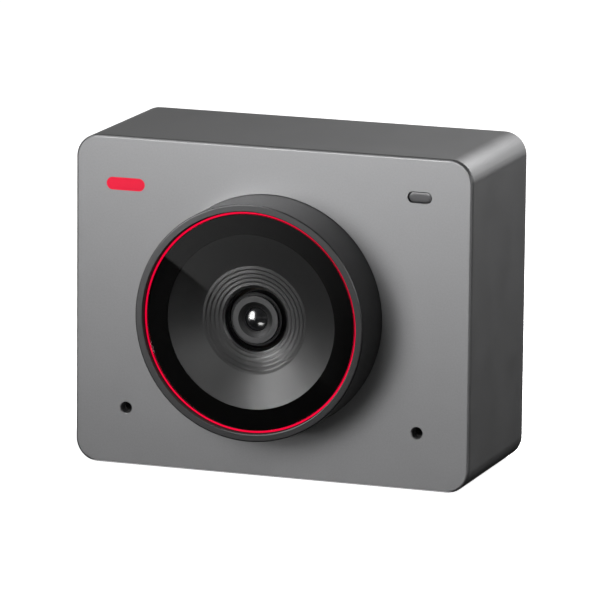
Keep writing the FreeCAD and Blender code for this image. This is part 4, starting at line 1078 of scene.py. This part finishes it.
class WEBCAM_OT_usb_port(bpy.types.Operator):
    """USB-C shell with rolled lips, and the tongue with its contacts."""
    bl_idname, bl_label = "webcam.usb_port", "USB-C Port"

    def execute(self, context):
        centre, width, height = (0.0, SHELL.middle[1]), SHELL.width, SHELL.height
        front, mouth, wall = SHELL.low.y, SHELL.high.y, 0.3
        profile = [(0.0, front), (0.0, mouth - 0.1), (0.03, mouth - 0.03), (0.1, mouth), (wall - 0.06, mouth),
                   (wall, mouth - 0.08), (wall, front)]
        shell = shell_of("shell", width, height, height / 2 - 1e-3, profile, True, centre, 16)
        finished("usb_port_shell", shell, "port_steel", ["usb_shell"])
        end = TONGUE.high.y
        core = shell_of("core", width - 2 * wall - FIT, height - 2 * wall - FIT, height / 2 - wall - FIT,
                        [(0, front), (0, mouth - 6.7)], False, centre, 12)
        blade = shell_of("blade", 6.7, 0.7, 0.1, [(0, mouth - 7.3), (0, end - 0.2), (0.06, end)], False,
                         centre, 3)
        contact = shell_of("contact", 0.26, 0.03, 0.01, [(0, end - 3.6), (0, end - 0.35)], False, centre, 1)
        row = row_tree().result("row", contact, "microphone_metal", Count=12, Pitch=0.5)
        rows = []
        for side in (-1, 1):
            rows.append(row.copy())
            rows[-1].transform(Matrix.Translation((0, 0, side * 0.355)))
        body = joined_mesh("tongue", [core, blade])
        count = len(body.polygons)
        whole = joined_mesh("tongue", [body, *rows])
        for polygon in whole.polygons:
            polygon.material_index = 0 if polygon.index < count else 1
        finished("usb_port_tongue", whole, "chip_black", ["usb_tongue"], extra_slots=["microphone_metal"])
        return {"FINISHED"}


class WEBCAM_OT_heat_sink(bpy.types.Operator):
    """Heat sink with its row of fins and two feet."""
    bl_idname, bl_label = "webcam.heat_sink", "Heat Sink"

    def execute(self, context):
        middle = (0.0, SINK.middle[1])
        base_front, base_back, foot_radius = 0.9, 2.1, 1.4
        shape = [(0.1, base_front), (0, base_front + 0.1), (0, base_back - 0.1), (0.1, base_back)]
        base = shell_of("base", SINK.width, SINK.height, 0.3, shape, False, middle, 3)
        shape = [(0, base_back - 0.3), (0, SINK.high.y - 0.15), (0.15, SINK.high.y)]
        fin = shell_of("fin", 0.8, SINK.height, 0.12, shape, False, middle, 2)
        fins = row_tree().result("fins", fin, "sink_metal", Count=11, Pitch=2.72)
        parts = [base, fins]
        for side in (-1, 1):
            foot = rod(foot_radius, SINK.low.y, base_front + 0.2)
            parts.append(turned("foot", foot, 32, (side * (SINK.width / 2 - foot_radius), middle[1])))
        finished("heat_sink_fins", joined_mesh("sink", parts), "sink_metal", ["heat_sink"])
        return {"FINISHED"}


class WEBCAM_OT_inner_pieces(bpy.types.Operator):
    """Finishes of the pieces whose shape is already right."""
    bl_idname, bl_label = "webcam.inner_pieces", "Inner Pieces"

    def execute(self, context):
        slots = {part["node"]: part["material_slot"] for part in frame["record"]["subparts"]}
        for name, node in frame["nodes"].items():
            if not node.hide_render:
                node.data.materials.clear()
                node.data.materials.append(finish(slots[name]))
        return {"FINISHED"}


# Angles in degrees, and place along the camera's own axes and focal length in millimetres
CAMERA = {"yaw": 19.5329, "pitch": 11.6009, "roll": 0.5361, "side": 0.0512, "up": 17.3498, "away": 669.8406,
          "lens": 367.257}
# Softboxes: direction from the front (positive to the right), elevation, distance, width, height and power
BODY_LAMPS = {
    "front_softbox": (-8, 20, 0.17, 0.07, 0.07, 0.1018),
    "left_softbox": (-20, 20, 0.17, 0.07, 0.07, 0.0559),
    "low_left_softbox": (-20, 8, 0.23, 0.09, 0.09, 0.0724),
    "back_softbox": (140, 12, 0.26, 0.11, 0.11, 0.0326),
}
REAR_LAMPS = {
    "high_back_softbox": (120, 50, 0.2, 0.11, 0.11, 0.92),
}
PLATE_LAMPS = {
    "plate_edge_softbox": (-60, 58, 0.2, 0.08, 0.08, 0.075),
    "plate_side_softbox": (75, 3, 0.2, 0.08, 0.03, 0.02),
}
LENS_LAMPS = {
    "lens_left_softbox": (-32, 8, 0.23, 0.09, 0.09, 0.3363),
    "lens_high_softbox": (-58, 67, 0.2, 0.08, 0.08, 0.2779),
    "lens_right_softbox": (60, 20, 0.16, 0.06, 0.06, 0.0865),
    "lens_front_softbox": (10, 12, 0.2, 0.08, 0.08, 0.0368),
    "lens_step_softbox": (-54, 30, 0.2, 0.07, 0.07, 0.16),
}
# Two small lamps that only show in the front lens, with their share of the catch light's power
CATCH_LAMPS = {
    "lens_catch_light": (-59, 8, 0.06, 0.075, 0.042, 1.0),
    "lens_arc_light": (10, -31, 0.03, 0.011, 0.005, 0.013),
}
LENS_GROUP = ("lens_collar_body", "accent_ring_lacquered", "printed_band", "funnel_baffle_moulding",
              "lens_barrel_body", "lens_spacers")
PLATE_GROUP = ("front_plate_face",)
FRONT_LENS_GROUP = ("front_lens_glass",)
# Pieces that the body's lamps don't light
APART = ("window_pane", *FRONT_LENS_GROUP, *LENS_ELEMENTS[1:], *LENS_GROUP, "dust_foam", "focus_yoke",
         "focus_front_spring")


class WEBCAM_OT_studio(bpy.types.Operator):
    """Floor, cards that only show in reflections, softboxes, room light and camera."""
    bl_idname, bl_label = "webcam.studio", "Studio"

    def execute(self, context):
        scene = context.scene
        levels = scene.webcam_studio
        scene.view_settings.view_transform = "Standard"
        make_camera(scene)
        make_room(scene, levels)
        make_floor(levels)
        make_cards(levels)
        for lamps, pieces, state, factor in ((BODY_LAMPS, APART, "EXCLUDE", 1.0),
                                             (REAR_LAMPS, APART + PLATE_GROUP, "EXCLUDE", 1.0),
                                             (PLATE_LAMPS, PLATE_GROUP, "INCLUDE", 1.0),
                                             (LENS_LAMPS, LENS_GROUP, "INCLUDE", 1.0),
                                             (CATCH_LAMPS, FRONT_LENS_GROUP, "INCLUDE", levels.catch)):
            receivers = light_group(pieces, state)
            for name, (*place, power) in lamps.items():
                add_lamp(name, *place, power * factor).light_linking.receiver_collection = receivers
        return {"FINISHED"}


def light_group(names, state):
    """Collection of the pieces that a lamp reaches, or leaves out."""
    group = bpy.data.collections.new("light_group")
    for name in names:
        group.objects.link(bpy.data.objects[name])
    for member in group.collection_objects:
        member.light_linking.link_state = state
    return group


def make_camera(scene):
    yaw, pitch, roll = (radians(CAMERA[key]) for key in ("yaw", "pitch", "roll"))
    back = Vector((sin(yaw) * cos(pitch), -cos(yaw) * cos(pitch), sin(pitch)))
    right = Vector((cos(yaw), sin(yaw), 0.0))
    up = back.cross(right)
    right, up = cos(roll) * right + sin(roll) * up, -sin(roll) * right + cos(roll) * up
    camera = bpy.data.objects.new("photo_camera", bpy.data.cameras.new("photo_camera"))
    scene.collection.objects.link(camera)
    place = (CAMERA["side"] * right + CAMERA["up"] * up + CAMERA["away"] * back) / MM
    camera.matrix_world = Matrix.Translation(place) @ Matrix((right, up, back)).transposed().to_4x4()
    camera.data.sensor_width, camera.data.lens = 36.0, CAMERA["lens"]
    camera.data.clip_start, camera.data.clip_end = 0.01, 50.0
    scene.camera = camera


def make_room(scene, levels):
    world = bpy.data.worlds.new("grey_room")
    scene.world = world
    world.use_nodes = True
    ground = world.node_tree.nodes["Background"]
    ground.inputs["Color"].default_value = (1, 1, 1, 1)
    ground.inputs["Strength"].default_value = levels.room


def make_floor(levels):
    """White floor just under the object, with a low wall all round, that is clear from below."""
    count, sections = 96, []
    for radius, height in ((0.5, -1e-4), (2.0, -1e-4), (4.0, -1e-4), (4.4, 0.03), (4.7, 0.12), (4.8, 0.4)):
        sections.append([(radius * cos(2 * pi * i / count), radius * sin(2 * pi * i / count), height)
                         for i in range(count)])
    points = [point for section in sections for point in section]
    faces = [tuple(range(count))]
    for row in range(len(sections) - 1):
        for i in range(count):
            j = (i + 1) % count
            faces.append((row * count + j, row * count + i, (row + 1) * count + i, (row + 1) * count + j))
    mesh = bpy.data.meshes.new("floor")
    mesh.from_pydata(points, [], faces)
    mesh.shade_smooth()
    shader = Shader("white_floor")
    path = shader.add("LightPath")
    outputs = path.socket.node.outputs
    seen = Value(shader, outputs["Is Camera Ray"]).high(Value(shader, outputs["Is Glossy Ray"])).high(
        Value(shader, outputs["Is Transmission Ray"]))
    matt = shader.add("BsdfDiffuse", None, {"Color": (0.8, 0.8, 0.8, 1)})
    glow = shader.add("Emission", None, {"Color": (1, 1, 1, 1), "Strength": levels.floor})
    both = shader.add("AddShader", None, {0: matt, 1: glow})
    top = shader.add("MixShader", None, {0: seen, 1: matt, 2: both})
    below = shader.add("NewGeometry", None, None, 6)
    shader.output(shader.add("MixShader", None, {0: below, 1: top, 2: shader.add("BsdfTransparent")}))
    mesh.materials.append(shader.material)
    new_object("studio_floor", mesh)


# Grey of the window's card at the origin, its fall to the right and its rise to the back, per millimetre
CARD_GREY, CARD_FALL, CARD_RISE = 0.058, 0.0051, 0.00147
# Reach of the cards, and two points on the slanting edge of the window's card
CARD_REACH = 1500.0
SLANT = ((-53.3, -129.2), (-40.7, -111.0))


def reflection_card(name, corners, height, brightness=None):
    """Flat shape on the floor that only shows in reflections."""
    mesh = bpy.data.meshes.new(name)
    mesh.from_pydata([(x / MM, y / MM, height / MM) for x, y in corners], [], [tuple(range(len(corners)))])
    shader = Shader(name)
    if brightness is None:
        x, y, z = shader.axes(shader.place())
        grey = (CARD_GREY - x * CARD_FALL + y * CARD_RISE).high(0.0)
        colour = shader.add("CombineColor", None, {0: grey, 1: grey, 2: grey})
    else:
        colour = (brightness, brightness, brightness, 1)
    shader.output(shader.add("Emission", None, {"Color": colour, "Strength": 1.0}))
    mesh.materials.append(shader.material)
    card = new_object(name, mesh)
    card.visible_camera = card.visible_diffuse = card.visible_shadow = card.visible_transmission = False


def make_cards(levels):
    far, face = CARD_REACH, FACE_Y
    card_height, top_height = 0.2, 0.4
    for name, (x0, y0), (x1, y1), brightness in (
            ("left_card", (-far, -far), (0, far), levels.left_card),
            ("front_right_card", (0, -far), (far, face), levels.front_card),
            ("back_right_card", (0, face), (far, far), levels.back_card)):
        reflection_card(name, [(x0, y0), (x1, y0), (x1, y1), (x0, y1)], card_height, brightness)
    start, end = Vector(SLANT[0]), Vector(SLANT[1])
    along = (end - start).normalized()
    before, after = 60, 90
    first, last = start - along * before, end + along * after
    reflection_card("window_card", [tuple(first), (last.x, first.y), tuple(last)], top_height)


def add_lamp(name, turn, rise, away, width, height, power):
    """Softbox that faces the front of the object from a direction and a distance."""
    turn, rise = radians(turn), radians(rise)
    way = Vector((sin(turn) * cos(rise), -cos(turn) * cos(rise), sin(rise)))
    lamp = bpy.data.lights.new(name, "AREA")
    lamp.shape, lamp.size, lamp.size_y, lamp.energy = "RECTANGLE", width, height, power
    softbox = new_object(name, lamp)
    softbox.location = Vector((0, FACE_Y / MM, MIDDLE[1] / MM)) + way * away
    softbox.rotation_euler = way.to_track_quat("Z", "Y").to_euler()
    softbox.visible_camera = False
    return softbox


class WEBCAM_PT_panel(bpy.types.Panel):
    """Buttons for each piece, in the order that they are built."""
    bl_idname, bl_label = "WEBCAM_PT_panel", "Compact Webcam"
    bl_space_type, bl_region_type, bl_category = "VIEW_3D", "UI", "Webcam"

    def draw(self, context):
        for step in STEPS:
            self.layout.operator(step.bl_idname)
        for group in (context.scene.webcam_sizes, context.scene.webcam_finishes, context.scene.webcam_studio):
            for name in group.__annotations__:
                self.layout.prop(group, name)


STEPS = (WEBCAM_OT_front_plate, WEBCAM_OT_body_sleeve, WEBCAM_OT_lens_collar, WEBCAM_OT_window,
         WEBCAM_OT_funnel, WEBCAM_OT_lens, WEBCAM_OT_light_pipe, WEBCAM_OT_rear_cover,
         WEBCAM_OT_cover_screws, WEBCAM_OT_tripod_socket, WEBCAM_OT_usb_port, WEBCAM_OT_heat_sink,
         WEBCAM_OT_inner_pieces, WEBCAM_OT_studio)
CLASSES = (WebcamSizes, WebcamFinishes, WebcamStudio, *STEPS, WEBCAM_PT_panel)


def register():
    for each in CLASSES:
        bpy.utils.register_class(each)
    bpy.types.Scene.webcam_sizes = PointerProperty(type=WebcamSizes)
    bpy.types.Scene.webcam_finishes = PointerProperty(type=WebcamFinishes)
    bpy.types.Scene.webcam_studio = PointerProperty(type=WebcamStudio)


def unregister():
    del bpy.types.Scene.webcam_sizes, bpy.types.Scene.webcam_finishes, bpy.types.Scene.webcam_studio
    for each in reversed(CLASSES):
        bpy.utils.unregister_class(each)


def main():
    register()
    for step in STEPS:
        area, name = step.bl_idname.split(".")
        getattr(getattr(bpy.ops, area), name)()


if __name__ == "__main__":
    main()
